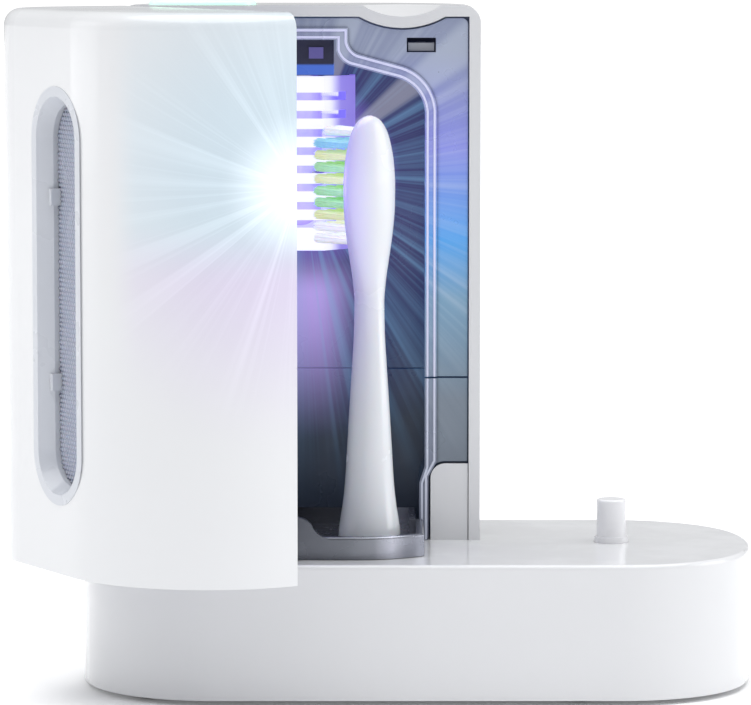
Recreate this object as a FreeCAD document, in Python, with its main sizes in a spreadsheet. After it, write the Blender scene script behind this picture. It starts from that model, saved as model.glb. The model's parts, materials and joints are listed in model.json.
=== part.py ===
import FreeCAD, Part
import math
import os

import Sketcher

# A countertop toothbrush sanitizer: a long base with a charging post, and on it a tower whose
# door opens on a vertical hinge. The tower holds an ultraviolet lamp behind a slatted screen,
# a two-part liner and a drip tray with two pegs for brush heads.
# Millimetres. +X is to the user's right, +Y away from the user, +Z up.
# Everything is laid out about the middle of the base, then moved so that the origin is at the
# bottom centre of the whole object with its door open.

SIZES = {
    # base
    "base_length": 124.0,
    "base_depth": 59.4,
    "base_bottom": 1.0,
    "deck_z": 25.7,
    "base_wall": 2.2,
    "base_corner_radius": 24.0,
    "base_end_radius": 45.0,
    "cover_thickness": 2.0,
    "foot_radius": 4.0,
    "screw_radius": 1.25,
    "screw_head_radius": 2.4,
    # charging post
    "post_x": 36.3,
    "post_radius": 2.75,
    "post_height": 8.1,
    # tower
    "tower_x": -21.9,
    "tower_width": 67.4,
    "tower_top": 125.5,
    "tower_wall": 2.1,
    "rim_y": 1.9,
    "back_y": 29.0,
    "back_corner_radius": 20.0,
    "partition_y": 21.5,
    # liner and cavity, as distances from the tower's middle
    "flange_y": 2.6,
    "flange_thickness": 1.6,
    "cavity_half": 23.4,
    "cavity_back_y": 18.4,
    "liner_wall": 1.2,
    "seam_z": 56.3,
    "seam_gap": 0.35,
    # door, closed
    "door_bottom": 26.15,
    "door_front_y": -27.8,
    "door_gap": 0.3,
    "door_wall": 2.0,
    "door_hinge_radius": 17.5,
    "door_free_radius": 27.8,
    "open_angle": 59.2,
    "window_half": 9.3,
    "window_low_z": 38.4,
    "window_high_z": 112.3,
    "bevel_width": 3.2,
    # hinge
    "knuckle_radius": 2.3,
    "knuckle_clearance": 0.35,
    "knuckle_length": 5.0,
    "pin_radius": 0.9,
    # screen and lamp
    "lamp_y": 13.0,
    "lamp_radius": 4.2,
    "screen_low_z": 79.7,
    "screen_high_z": 114.0,
    "slat_pitch": 3.4,
    # tray and brush
    "tray_half": 23.1,
    "tray_front_y": -23.4,
    "tray_top": 29.9,
    "peg_offset": 13.1,
    "peg_y": -8.0,
    "peg_radius": 1.9,
    "brush_turn": 37.0,
    # power button
    "button_x": -40.0,
    "button_y": 11.0,
    "button_half": 10.0,
    "button_radius": 4.5,
    # from the middle of the base to the bottom centre of the open object
    "origin_x": 6.2,
    "origin_y": 15.2,
}

DOC = FreeCAD.newDocument("toothbrush_sanitizer")
SHEET = DOC.addObject("Spreadsheet::Sheet", "Sizes")
FINISHED = []
CUTS = []

LEFT = "(Sizes.tower_x - Sizes.tower_width / 2)"
RIGHT = "(Sizes.tower_x + Sizes.tower_width / 2)"
MIDDLE = "Sizes.tower_x"
HINGE_Y = "(Sizes.rim_y - Sizes.door_gap / 2)"
DECK_UNDER = "(Sizes.deck_z - Sizes.base_wall)"
COVER_TOP = "(Sizes.base_bottom + Sizes.cover_thickness)"
TOWER_CEILING = "(Sizes.tower_top - Sizes.tower_wall)"


def fill_sheet():
    """One row for each driving dimension."""
    for row, (alias, value) in enumerate(SIZES.items(), 1):
        SHEET.set(f"A{row}", alias)
        SHEET.set(f"B{row}", str(value))
        SHEET.setAlias(f"B{row}", alias)
    DOC.recompute()


def number(expression):
    """The value of an expression on the sheet, in millimetres or degrees."""
    value = SHEET.evalExpression(str(expression))
    return float(getattr(value, "Value", value))


def bind(item, **properties):
    """Bind an object's properties to expressions; a double underscore stands for a dot."""
    for name, expression in properties.items():
        item.setExpression(name.replace("__", "."), str(expression))


def put(item, x="0", y="0", z="0"):
    """Place an object at x, y, z."""
    bind(item, Placement__Base__x=x, Placement__Base__y=y, Placement__Base__z=z)
    return item


# Primitives and booleans


def box(name, low, high):
    """A box between two corners, each three expressions."""
    item = DOC.addObject("Part::Box", name)
    spans = [f"({b}) - ({a})" for a, b in zip(low, high)]
    bind(item, Length=spans[0], Width=spans[1], Height=spans[2])
    return put(item, *low)


def block(name, x, y, half_x, half_y, low, high):
    """A box centred on x, y between two heights."""
    near = (f"{x} - {half_x}", f"{y} - {half_y}", low)
    far = (f"{x} + {half_x}", f"{y} + {half_y}", high)
    return box(name, near, far)


def cylinder(name, start, radius, length, axis="Z"):
    """A cylinder from its start point along +X, +Y or +Z."""
    item = DOC.addObject("Part::Cylinder", name)
    bind(item, Radius=radius, Height=length)
    turns = {"X": ((0, 1, 0), 90), "Y": ((1, 0, 0), -90), "Z": ((0, 0, 1), 0)}
    direction, angle = turns[axis]
    item.Placement.Rotation = FreeCAD.Rotation(FreeCAD.Vector(*direction), angle)
    return put(item, *start)


def cone(name, start, radius_start, radius_end, length):
    """A cone from its start point along +Z."""
    item = DOC.addObject("Part::Cone", name)
    bind(item, Radius1=radius_start, Radius2=radius_end, Height=length)
    return put(item, *start)


def fuse(name, *shapes):
    item = DOC.addObject("Part::MultiFuse", name)
    item.Shapes = list(shapes)
    item.Refine = True
    return item


def cut(name, base, *tools):
    item = DOC.addObject("Part::Cut", name)
    item.Base = base
    item.Tool = tools[0] if len(tools) == 1 else fuse(name + "_tools", *tools)
    item.Refine = True
    CUTS.append((item, base))
    return item


def group(name, members):
    """Identical pieces as separate solids of one node."""
    item = DOC.addObject("Part::Compound", name)
    item.Links = members
    return item


def finish(item, label):
    """Name a finished sub-part."""
    item.Label = label
    FINISHED.append(item)
    return item


# Outlines: lists of (x, y) or (x, y, radius) expressions. A radius makes an arc to the next
# point: positive turns anticlockwise, negative clockwise. ("circle", x, y, radius) is a circle.


def rectangle(x0, y0, x1, y1):
    return [(x0, y0), (x1, y0), (x1, y1), (x0, y1)]


def rounded(x0, y0, x1, y1, radius):
    """A rectangle with round corners, anticlockwise."""
    r = f"({radius})"
    return [
        (f"{x0} + {r}", y0),
        (f"{x1} - {r}", y0, r),
        (x1, f"{y0} + {r}"),
        (x1, f"{y1} - {r}", r),
        (f"{x1} - {r}", y1),
        (f"{x0} + {r}", y1, r),
        (x0, f"{y1} - {r}"),
        (x0, f"{y0} + {r}", r),
    ]


def racetrack(x, low, high, half):
    """Upright, with half-round ends."""
    return [
        (f"{x} + {half}", f"{low} + {half}"),
        (f"{x} + {half}", f"{high} - {half}", half),
        (f"{x} - {half}", f"{high} - {half}"),
        (f"{x} - {half}", f"{low} + {half}", half),
    ]


def mirrored(half_outline):
    """A closed outline from its right half, given upwards as (distance from middle, z[, radius])."""
    right = [(f"{MIDDLE} + {p[0]}", *p[1:]) for p in half_outline]
    left = []
    for i, p in enumerate(reversed(half_outline)):
        following = half_outline[len(half_outline) - 2 - i] if i < len(half_outline) - 1 else (0, 0)
        left.append((f"{MIDDLE} - {p[0]}", p[1], *following[2:]))
    return right + left


def add_outline(sketch, outline):
    """Add one closed outline, every point and radius held by a constraint bound to the sheet."""
    if outline[0] == "circle":
        add_circle(sketch, *outline[1:])
        return
    first = sketch.GeometryCount
    count = len(outline)
    spots = [FreeCAD.Vector(number(p[0]), number(p[1]), 0) for p in outline]
    ends = []
    for i, point in enumerate(outline):
        start, end = spots[i], spots[(i + 1) % count]
        if len(point) == 2:
            sketch.addGeometry(Part.LineSegment(start, end), False)
            ends.append((1, 2))
        else:
            sketch.addGeometry(arc_between(start, end, number(point[2])), False)
            ends.append((1, 2) if number(point[2]) > 0 else (2, 1))
    for i, point in enumerate(outline):
        following = (i + 1) % count
        line, corner = first + i, ends[i][0]
        joint = Sketcher.Constraint("Coincident", line, ends[i][1], first + following, ends[following][0])
        sketch.addConstraint(joint)
        hold(sketch, "DistanceX", (-1, 1, line, corner), point[0])
        hold(sketch, "DistanceY", (-1, 1, line, corner), point[1])
        if len(point) == 3:
            hold_arc(sketch, line, point, spots[following] - spots[i])


def hold_arc(sketch, line, point, chord):
    """Hold an arc by its radius, or a half circle on a level or upright chord by its centre."""
    half_circle = abs(chord.Length - 2 * abs(number(point[2]))) < 1e-6
    if half_circle and abs(chord.y) < 1e-6:
        hold(sketch, "DistanceY", (-1, 1, line, 3), point[1])
    elif half_circle:
        hold(sketch, "DistanceX", (-1, 1, line, 3), point[0])
    else:
        hold(sketch, "Radius", (line,), f"abs({point[2]})")


def add_circle(sketch, x, y, radius):
    """Add a circle, held by its centre and radius."""
    centre = FreeCAD.Vector(number(x), number(y), 0)
    line = sketch.GeometryCount
    sketch.addGeometry(Part.Circle(centre, FreeCAD.Vector(0, 0, 1), number(radius)), False)
    hold(sketch, "DistanceX", (-1, 1, line, 3), x)
    hold(sketch, "DistanceY", (-1, 1, line, 3), y)
    hold(sketch, "Radius", (line,), radius)


def arc_between(start, end, radius):
    """The short arc between two points, as an anticlockwise arc of a circle."""
    chord = end - start
    rise = math.sqrt(max(radius * radius - chord.Length ** 2 / 4, 0.0))
    side = FreeCAD.Vector(-chord.y, chord.x, 0).normalize()
    centre = (start + end) * 0.5 + side * math.copysign(rise, radius)
    if radius < 0:
        start, end = end, start
    angles = [math.atan2(p.y - centre.y, p.x - centre.x) for p in (start, end)]
    if angles[1] < angles[0]:
        angles[1] += 2 * math.pi
    circle = Part.Circle(centre, FreeCAD.Vector(0, 0, 1), abs(radius))
    return Part.ArcOfCircle(circle, *angles)


def hold(sketch, kind, where, expression):
    """A dimension constraint bound to an expression."""
    index = sketch.addConstraint(Sketcher.Constraint(kind, *where, number(expression)))
    sketch.setExpression(f"Constraints[{index}]", str(expression))


# Bodies: pads and pockets between two heights along X (plane YZ), Y (plane XZ) or Z (plane XY)


def new_body(name):
    body = DOC.addObject("PartDesign::Body", name)
    body.AllowCompound = False
    return body


def new_sketch(body, plane, height, outlines):
    """A sketch on one of the body's origin planes, moved along its normal."""
    sketch = body.newObject("Sketcher::SketchObject", body.Name + "_sketch")
    origin_plane = [f for f in body.Origin.OriginFeatures if f.Role == plane + "_Plane"][0]
    sketch.AttachmentSupport = [(origin_plane, "")]
    sketch.MapMode = "FlatFace"
    sign = "-1 * " if plane == "XZ" else ""
    sketch.setExpression("AttachmentOffset.Base.z", f"{sign}({height})")
    for outline in outlines:
        add_outline(sketch, outline)
    return sketch


def pad(body, plane, low, high, *outlines):
    """Add material between low and high along the plane's axis."""
    start = high if plane == "XZ" else low
    feature = body.newObject("PartDesign::Pad", body.Name + "_pad")
    feature.Profile = new_sketch(body, plane, start, outlines)
    feature.setExpression("Length", f"({high}) - ({low})")
    body.Tip = feature
    return feature


def pocket(body, plane, low, high, *outlines):
    """Take material away between low and high along the plane's axis."""
    before = body.Tip
    start = low if plane == "XZ" else high
    feature = body.newObject("PartDesign::Pocket", body.Name + "_pocket")
    feature.Profile = new_sketch(body, plane, start, outlines)
    feature.setExpression("Length", f"({high}) - ({low})")
    body.Tip = feature
    CUTS.append((feature, before))
    return feature


def dress(body, kind, size, chosen):
    """Fillet or Chamfer on the edges of the tip that the function picks."""
    DOC.recompute()
    base = body.Tip
    names = [f"Edge{i}" for i, edge in enumerate(base.Shape.Edges, 1) if chosen(edge)]
    feature = body.newObject("PartDesign::" + kind, body.Name + "_" + kind.lower())
    feature.Base = (base, names)
    feature.setExpression("Radius" if kind == "Fillet" else "Size", str(size))
    body.Tip = feature
    return feature


def at_height(z):
    """Picks edges that lie wholly at one height."""
    level = number(z)
    return lambda e: max(abs(e.BoundBox.ZMin - level), abs(e.BoundBox.ZMax - level)) < 0.01


def at_depth(y):
    """Picks edges that lie wholly at one depth."""
    level = number(y)
    return lambda e: max(abs(e.BoundBox.YMin - level), abs(e.BoundBox.YMax - level)) < 0.01


# Plans


def base_plan(inset):
    """The base's outline: straight front and back, and ends of three tangent arcs."""
    corner = f"(Sizes.base_corner_radius - {inset})"
    end = f"(Sizes.base_end_radius - {inset})"
    reach = "(Sizes.base_end_radius - Sizes.base_corner_radius)"
    end_x = "(Sizes.base_length / 2 - Sizes.base_end_radius)"
    corner_y = "(Sizes.base_depth / 2 - Sizes.base_corner_radius)"
    along = f"sqrt({reach} ^ 2 - {corner_y} ^ 2)"
    half_depth = f"(Sizes.base_depth / 2 - {inset})"
    flat = f"({end_x} + {along})"
    tip_x = f"({end_x} + {end} * {along} / {reach})"
    tip_y = f"({end} * {corner_y} / {reach})"
    return [
        (f"-1 * {flat}", f"-1 * {half_depth}"),
        (flat, f"-1 * {half_depth}", corner),
        (tip_x, f"-1 * {tip_y}", end),
        (tip_x, tip_y, corner),
        (flat, half_depth),
        (f"-1 * {flat}", half_depth, corner),
        (f"-1 * {tip_x}", tip_y, end),
        (f"-1 * {tip_x}", f"-1 * {tip_y}", corner),
    ]


def tower_plan(inset):
    """The rear shell's outline, open side at the front."""
    r = f"(Sizes.back_corner_radius - {inset})"
    x0, x1 = f"{LEFT} + {inset}", f"{RIGHT} - {inset}"
    y1 = f"Sizes.back_y - {inset}"
    return [
        (x0, "Sizes.rim_y"),
        (x1, "Sizes.rim_y"),
        (x1, f"{y1} - {r}", r),
        (f"{x1} - {r}", y1),
        (f"{x0} + {r}", y1, r),
        (x0, f"{y1} - {r}"),
    ]


def cavity_plan(inset, back):
    """As the rear shell's inside, but stopped by a flat wall at the back."""
    r = f"(Sizes.back_corner_radius - {inset})"
    centre_y = "(Sizes.back_y - Sizes.back_corner_radius)"
    side = f"sqrt({r} ^ 2 - ({back} - {centre_y}) ^ 2)"
    x0, x1 = f"{LEFT} + Sizes.back_corner_radius", f"{RIGHT} - Sizes.back_corner_radius"
    front = "Sizes.rim_y - 1"
    return [
        (f"{LEFT} + {inset}", front),
        (f"{RIGHT} - {inset}", front),
        (f"{RIGHT} - {inset}", centre_y, r),
        (f"{x1} + {side}", back),
        (f"{x0} - {side}", back, r),
        (f"{LEFT} + {inset}", centre_y),
    ]


def door_plan(inset, rim):
    """The closed door's outline, open at the back, its corner tighter on the hinge side."""
    near = f"(Sizes.door_hinge_radius - {inset})"
    far = f"(Sizes.door_free_radius - {inset})"
    x0, x1 = f"{LEFT} + {inset}", f"{RIGHT} - {inset}"
    y0 = f"Sizes.door_front_y + {inset}"
    return [
        (x0, rim),
        (x0, f"{y0} + {near}", near),
        (f"{x0} + {near}", y0),
        (f"{x1} - {far}", y0, far),
        (x1, f"{y0} + {far}"),
        (x1, rim),
    ]


# Base

BASE_SCREWS = [(-52.0, -8.0), (-45.0, 20.0), (42.0, -17.0), (46.0, 14.0)]
FEET = [(-47.6, -19.0), (29.4, -21.5), (-36.0, 21.5), (33.0, 21.5)]
TOWER_SCREW_X = 29.6
TOWER_SCREW_Y = (8.5, 14.0)
INLET_X = -4.0
INLET_Z = 11.0
INLET_RADIUS = 3.6
INLET_BORE = 2.2


def tower_screw_spots():
    return [(f"{MIDDLE} + {side * TOWER_SCREW_X}", y) for side in (-1, 1) for y in TOWER_SCREW_Y]


def base_housing():
    """The base's shell, open below, with screw bosses and the holes in its deck and back."""
    body = new_body("base_housing")
    pad(body, "XY", "Sizes.base_bottom", "Sizes.deck_z", base_plan("0"))
    dress(body, "Fillet", "0.8", at_height("Sizes.deck_z"))
    pocket(body, "XY", "Sizes.base_bottom", DECK_UNDER, base_plan("Sizes.base_wall"))
    bosses = [("circle", x, y, "3") for x, y in BASE_SCREWS]
    pad(body, "XY", COVER_TOP, f"{DECK_UNDER} + 0.5", *bosses)
    holes = [("circle", x, y, "Sizes.screw_radius") for x, y in BASE_SCREWS]
    pocket(body, "XY", COVER_TOP, f"{COVER_TOP} + 12", *holes)
    deck_holes = [("circle", x, y, "Sizes.screw_radius + 0.25") for x, y in tower_screw_spots()]
    deck_holes.append(("circle", "Sizes.post_x", "0", "Sizes.post_radius + 0.45"))
    deck_holes.append(rounded(f"{MIDDLE} - 7", "20.4", f"{MIDDLE} + 7", "25.4", "1.5"))
    pocket(body, "XY", f"{DECK_UNDER} - 1", "Sizes.deck_z + 1", *deck_holes)
    inlet = ("circle", INLET_X, INLET_Z, INLET_RADIUS)
    pocket(body, "XZ", "Sizes.base_depth / 2 - 4", "Sizes.base_depth / 2 + 1", inlet)
    finish(body, "base_housing")


def bottom_cover():
    """The plate that closes the base, with screw holes, foot recesses and board stand-offs."""
    body = new_body("bottom_cover")
    pad(body, "XY", "Sizes.base_bottom", COVER_TOP, base_plan("(Sizes.base_wall + 0.2)"))
    stands = [("circle", x, y, "2") for x, y in BOARD_STANDS]
    pad(body, "XY", f"{COVER_TOP} - 0.5", BOARD_Z, *stands)
    holes = [("circle", x, y, "Sizes.screw_radius") for x, y in BASE_SCREWS]
    pocket(body, "XY", "Sizes.base_bottom - 1", f"{COVER_TOP} + 1", *holes)
    heads = [("circle", x, y, "Sizes.screw_head_radius + 0.2") for x, y in BASE_SCREWS]
    pocket(body, "XY", "Sizes.base_bottom - 1", "Sizes.base_bottom + 1.2", *heads)
    seats = [("circle", x, y, "Sizes.foot_radius") for x, y in FEET]
    pocket(body, "XY", "Sizes.base_bottom - 1", "Sizes.base_bottom + 0.8", *seats)
    finish(body, "bottom_cover")


def rubber_feet():
    """Four low pads with bevelled lower edges."""
    feet = []
    for i, (x, y) in enumerate(FEET):
        foot = cylinder(f"foot_pad_{i}", (x, y, "0.6"), "Sizes.foot_radius", "Sizes.base_bottom + 0.2")
        toe = cone(f"foot_toe_{i}", (x, y, "0"), "Sizes.foot_radius - 0.8", "Sizes.foot_radius", "0.6")
        feet.append(fuse(f"foot_{i}", foot, toe))
    finish(group("rubber_feet_group", feet), "rubber_feet")


def screw(name, x, y, head_z, length):
    """A pan-head screw pointing up, its head's underside at head_z, with a cross recess."""
    shank = cylinder(name + "_shank", (x, y, f"{head_z}"), "Sizes.screw_radius", length)
    head = cylinder(name + "_head", (x, y, f"{head_z} - 1.1"), "Sizes.screw_head_radius", "1.1")
    low, high = f"{head_z} - 1.2", f"{head_z} - 0.5"
    slots = [
        block(name + "_slot_x", x, y, 1.3, 0.3, low, high),
        block(name + "_slot_y", x, y, 0.3, 1.3, low, high),
    ]
    return cut(name, fuse(name + "_blank", shank, head), *slots)


def screws():
    """Those that hold the bottom cover, and those that hold the tower to the deck."""
    seat = "(Sizes.base_bottom + 1.2)"
    cover = [screw(f"cover_screw_{i}", *spot, seat, "10") for i, spot in enumerate(BASE_SCREWS)]
    finish(group("cover_screw_group", cover), "base_screws")
    spots = tower_screw_spots()
    tower = [screw(f"tower_screw_{i}", *spot, DECK_UNDER, "9") for i, spot in enumerate(spots)]
    finish(group("tower_screw_group", tower), "tower_screws")


CORE_RADIUS = 1.65
CORE_LOW = 9.0
BOBBIN_RADIUS = 2.6
BOBBIN_LOW = 10.0
BOBBIN_HIGH = 20.0


def post_circle(radius):
    return ("circle", "Sizes.post_x", "0", radius)


def charging_post():
    """The post that a toothbrush handle stands on: a flange under the deck, a foot and a pin."""
    body = new_body("charger_post")
    top = "Sizes.deck_z + Sizes.post_height"
    pad(body, "XY", f"{DECK_UNDER} - 1.2", DECK_UNDER, post_circle("6"))
    pad(body, "XY", f"{DECK_UNDER} - 0.5", "Sizes.deck_z + 1.1", post_circle("Sizes.post_radius + 0.4"))
    pad(body, "XY", "Sizes.deck_z", top, post_circle("Sizes.post_radius"))
    dress(body, "Fillet", "0.5", at_height(top))
    pocket(body, "XY", f"{DECK_UNDER} - 2", f"{top} - 1.2", post_circle(f"{CORE_RADIUS} + 0.05"))
    finish(body, "charger_post")


def charging_coil():
    """The ferrite core inside the post, and the bobbin and winding round its lower half."""
    start = ("Sizes.post_x", "0", CORE_LOW)
    finish(cylinder("ferrite_core_rod", start, CORE_RADIUS, f"Sizes.deck_z + 5 - {CORE_LOW}"), "ferrite_core")
    low, high = BOBBIN_LOW + 1, BOBBIN_HIGH - 1
    bobbin = new_body("coil_bobbin")
    pad(bobbin, "XY", BOBBIN_LOW, BOBBIN_HIGH, post_circle(BOBBIN_RADIUS))
    pad(bobbin, "XY", BOBBIN_LOW, low, post_circle("7"))
    pad(bobbin, "XY", high, BOBBIN_HIGH, post_circle("7"))
    pocket(bobbin, "XY", BOBBIN_LOW - 1, BOBBIN_HIGH + 1, post_circle(CORE_RADIUS))
    finish(bobbin, "coil_bobbin")
    winding = cylinder("winding_outside", ("Sizes.post_x", "0", low), "6.2", high - low)
    hole = cylinder("winding_hole", ("Sizes.post_x", "0", low - 1), BOBBIN_RADIUS, high - low + 2)
    finish(cut("charge_coil_ring", winding, hole), "charge_coil")


BOARD_LOW = (-38.0, -14.0)
BOARD_HIGH = (4.0, 14.0)
BOARD_Z = 8.0
BOARD_THICKNESS = 1.6
BOARD_STANDS = [(-33.0, -11.0), (-33.0, 11.0), (0.0, -11.0), (0.0, 11.0)]


def main_board():
    """The power board in the base and the tall parts on it."""
    top = BOARD_Z + BOARD_THICKNESS
    finish(box("board_plate", (*BOARD_LOW, BOARD_Z), (*BOARD_HIGH, top)), "main_board")
    parts = [
        box("ballast", (-34, -9, top), (-20, 7, top + 9)),
        cylinder("capacitor_large", (-12, 5, top), 4, 11),
        cylinder("capacitor_small", (-12, -6, top), 2.5, 8),
        box("driver_chip", (-5, -4, top), (1, 4, top + 1.5)),
    ]
    finish(group("board_parts_group", parts), "board_components")


def cord_inlet():
    """The bush in the base's back wall that a supply cord would pass through."""
    back = "Sizes.base_depth / 2"
    inside = f"{back} - 3.4"
    rim = INLET_RADIUS + 1.0
    sleeve = cylinder("inlet_sleeve", (INLET_X, inside, INLET_Z), INLET_RADIUS, "4.2", "Y")
    outer = cylinder("inlet_outer_flange", (INLET_X, back, INLET_Z), rim, "0.9", "Y")
    inner = cylinder("inlet_inner_flange", (INLET_X, inside, INLET_Z), rim, "1.2", "Y")
    bore = cylinder("inlet_bore", (INLET_X, f"{back} - 5", INLET_Z), INLET_BORE, "8", "Y")
    finish(cut("inlet_bush", fuse("inlet_blank", sleeve, outer, inner), bore), "cord_inlet")

# Tower

KNUCKLE_ZONES = (40.0, 98.0)
SCOOP_X = -2.75
SCOOP_RADIUS = 14.0
SCOOP_DEPTH = 11.0
SCOOP_Z = f"(Sizes.tower_top - 2.1 + {SCOOP_RADIUS})"
PANEL_HALF = 22.0
PANEL_LOW = 31.0
PANEL_HIGH = 117.0


def knuckle_outline(radius):
    return ("circle", LEFT, HINGE_Y, radius)


def panel_outline(inset, radius):
    """The back panel's seat, drawn in by an inset."""
    x0, x1 = f"{MIDDLE} - {PANEL_HALF - inset}", f"{MIDDLE} + {PANEL_HALF - inset}"
    return rounded(x0, PANEL_LOW + inset, x1, PANEL_HIGH - inset, radius)


def rear_shell():
    """The tower's white outer shell, open at the front, with the cord store in its back."""
    body = new_body("rear_shell")
    pad(body, "XY", "Sizes.deck_z", "Sizes.tower_top", tower_plan("0"))
    front = number("Sizes.rim_y")
    top_edge = at_height("Sizes.tower_top")
    dress(body, "Fillet", "3.3", lambda e: top_edge(e) and e.BoundBox.YMax > front + 0.1)
    pocket(body, "XY", "Sizes.deck_z", TOWER_CEILING, cavity_plan("Sizes.tower_wall", "Sizes.partition_y"))
    scoop_boss(body)
    pocket(body, "XZ", "Sizes.partition_y + 1.6", "Sizes.back_y + 1", panel_outline(1.5, "3"))
    pocket(body, "XZ", "Sizes.back_y - 1.8", "Sizes.back_y + 1", panel_outline(0, "4"))
    bosses = [("circle", x, y, "2.6") for x, y in tower_screw_spots()]
    pad(body, "XY", "Sizes.deck_z", "Sizes.deck_z + 12", *bosses)
    holes = [("circle", x, y, "Sizes.screw_radius") for x, y in tower_screw_spots()]
    pocket(body, "XY", "Sizes.deck_z - 1", "Sizes.deck_z + 9", *holes)
    shell_button_hole(body)
    shell_knuckles(body)
    finish(body, "rear_shell")


def scoop_boss(body):
    """The finger scoop: the ceiling dips round it, then the dish is cut from the front."""
    wall = "Sizes.tower_wall"
    half = math.sqrt((SCOOP_RADIUS + 2.1) ** 2 - (SCOOP_RADIUS - 0.5) ** 2)
    level = f"(Sizes.tower_top - {wall} + 0.5)"
    boss = [
        (f"{SCOOP_X} - {half}", level, f"({SCOOP_RADIUS} + {wall})"),
        (f"{SCOOP_X} + {half}", level),
    ]
    pad(body, "XZ", "Sizes.rim_y", f"Sizes.rim_y + {SCOOP_DEPTH}", boss)
    dish = DOC.addObject("PartDesign::SubtractiveCone", "scoop_dish")
    body.addObject(dish)
    dish.Placement.Rotation = FreeCAD.Rotation(FreeCAD.Vector(1, 0, 0), -90)
    put(dish, SCOOP_X, "Sizes.rim_y - 0.01", SCOOP_Z)
    bind(dish, Radius1=SCOOP_RADIUS, Radius2=f"{SCOOP_RADIUS} - 2.6", Height=SCOOP_DEPTH - 0.5)
    body.Tip = dish


def shell_button_hole(body):
    """The oval hole that the power button stands in."""
    pocket(body, "XY", f"{TOWER_CEILING} - 1", "Sizes.tower_top + 1", button_oval("0.25"))


def shell_knuckles(body):
    """Two fixed knuckles on the left edge, a notch for each of the door's, and the pin holes."""
    clear = "Sizes.knuckle_radius + Sizes.knuckle_clearance"
    for low in KNUCKLE_ZONES:
        middle = f"({low} + Sizes.knuckle_length)"
        pad(body, "XY", low, middle, knuckle_outline("Sizes.knuckle_radius"))
        notch_low, notch_high = f"{middle} + 0.001", f"{middle} + Sizes.knuckle_length + 0.6"
        pocket(body, "XY", notch_low, notch_high, knuckle_outline(clear))
        pocket(body, "XY", f"{low} - 1", f"{middle} + 1", knuckle_outline("Sizes.pin_radius"))


def corner_blocks():
    """The two white blocks that stand on the deck at the tower's lower front corners."""
    blocks = []
    for side, sign in (("left", -1), ("right", 1)):
        body = new_body("corner_block_" + side)
        near, far = f"{MIDDLE} + {sign * 24.5}", f"{MIDDLE} + {sign * 31.45}"
        high = "40.1"
        turn = "2.7"
        outline = [
            (near, "Sizes.deck_z"),
            (far, "Sizes.deck_z"),
            (far, high),
            (f"{MIDDLE} + {sign * 27.2}", high, f"{sign} * {turn}"),
            (near, f"{high} - {turn}"),
        ]
        pad(body, "XZ", "Sizes.rim_y + 0.3", "5.4", outline)
        blocks.append(body)
    finish(group("corner_block_group", blocks), "corner_blocks")


# The cavity's right half as seen from the front, from the seam up to the middle.
# Distances from the tower's middle and heights; the last number is an arc's radius.


def cavity_top(grow, foot_z):
    """The cavity's outline above a height, grown outwards: a stepped crown over round shoulders."""
    side = f"(Sizes.cavity_half + {grow})"
    return [
        (side, foot_z),
        (side, "105.8", f"(7 + {grow})"),
        (f"(18.4 + 0.4 * {grow})", f"(112.0 + {grow})"),
        (f"(10.1 + 0.5 * {grow})", f"(114.2 + {grow})", f"-1 * (4 - 0.5 * {grow})"),
        (f"(6.9 + {grow})", f"(117.2 + {grow})"),
        (f"(6.9 + {grow})", f"(119.1 + {grow})"),
    ]


def cavity_foot(grow, top_z):
    """The cavity's outline below a height: it draws in beside the tray."""
    side = f"(Sizes.cavity_half + {grow})"
    drawn = f"(Sizes.cavity_half - 1 + {grow})"
    return [
        (drawn, "Sizes.deck_z + 0.1"),
        (drawn, "36.5"),
        (side, "39.5"),
        (side, top_z),
    ]


FLANGE_HALF = 31.35
BEAD_PROUD = 0.6
SLOT_LOW = (-1.9, 116.8)
SLOT_HIGH = (3.5, 119.5)


def upper_liner():
    """The upper half of the silver liner, with the interlock slot in its flange."""
    low = "(Sizes.seam_z + Sizes.seam_gap / 2)"
    high = f"({TOWER_CEILING} - 0.3)"
    left, right = f"{MIDDLE} - {FLANGE_HALF}", f"{MIDDLE} + {FLANGE_HALF}"
    corner = 1.2
    flange = [
        (left, low),
        (right, low),
        (right, f"{high} - {corner}", corner),
        (f"{right} - {corner}", high),
        (f"{left} + {corner}", high, corner),
        (left, f"{high} - {corner}"),
    ]
    body = new_body("upper_liner")
    pad(body, "XZ", "Sizes.flange_y", "Sizes.flange_y + Sizes.flange_thickness", flange)
    back = "(Sizes.cavity_back_y + Sizes.liner_wall)"
    pad(body, "XZ", "Sizes.flange_y + 0.2", back, mirrored(cavity_top("Sizes.liner_wall", low)))
    bead = mirrored(cavity_top("2.25", low))
    pad(body, "XZ", f"Sizes.flange_y - {BEAD_PROUD}", "Sizes.flange_y + 0.4", bead)
    pocket(body, "XZ", "0", "Sizes.cavity_back_y", mirrored(cavity_top("0", f"{low} - 1")))
    scoop_clear = ("circle", SCOOP_X, SCOOP_Z, f"{SCOOP_RADIUS} + Sizes.tower_wall + 0.35")
    pocket(body, "XZ", "1", "Sizes.cavity_back_y + 3", scoop_clear)
    pocket(body, "XZ", "1", "6", rectangle(*SLOT_LOW, *SLOT_HIGH))
    finish(body, "upper_liner")


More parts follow.
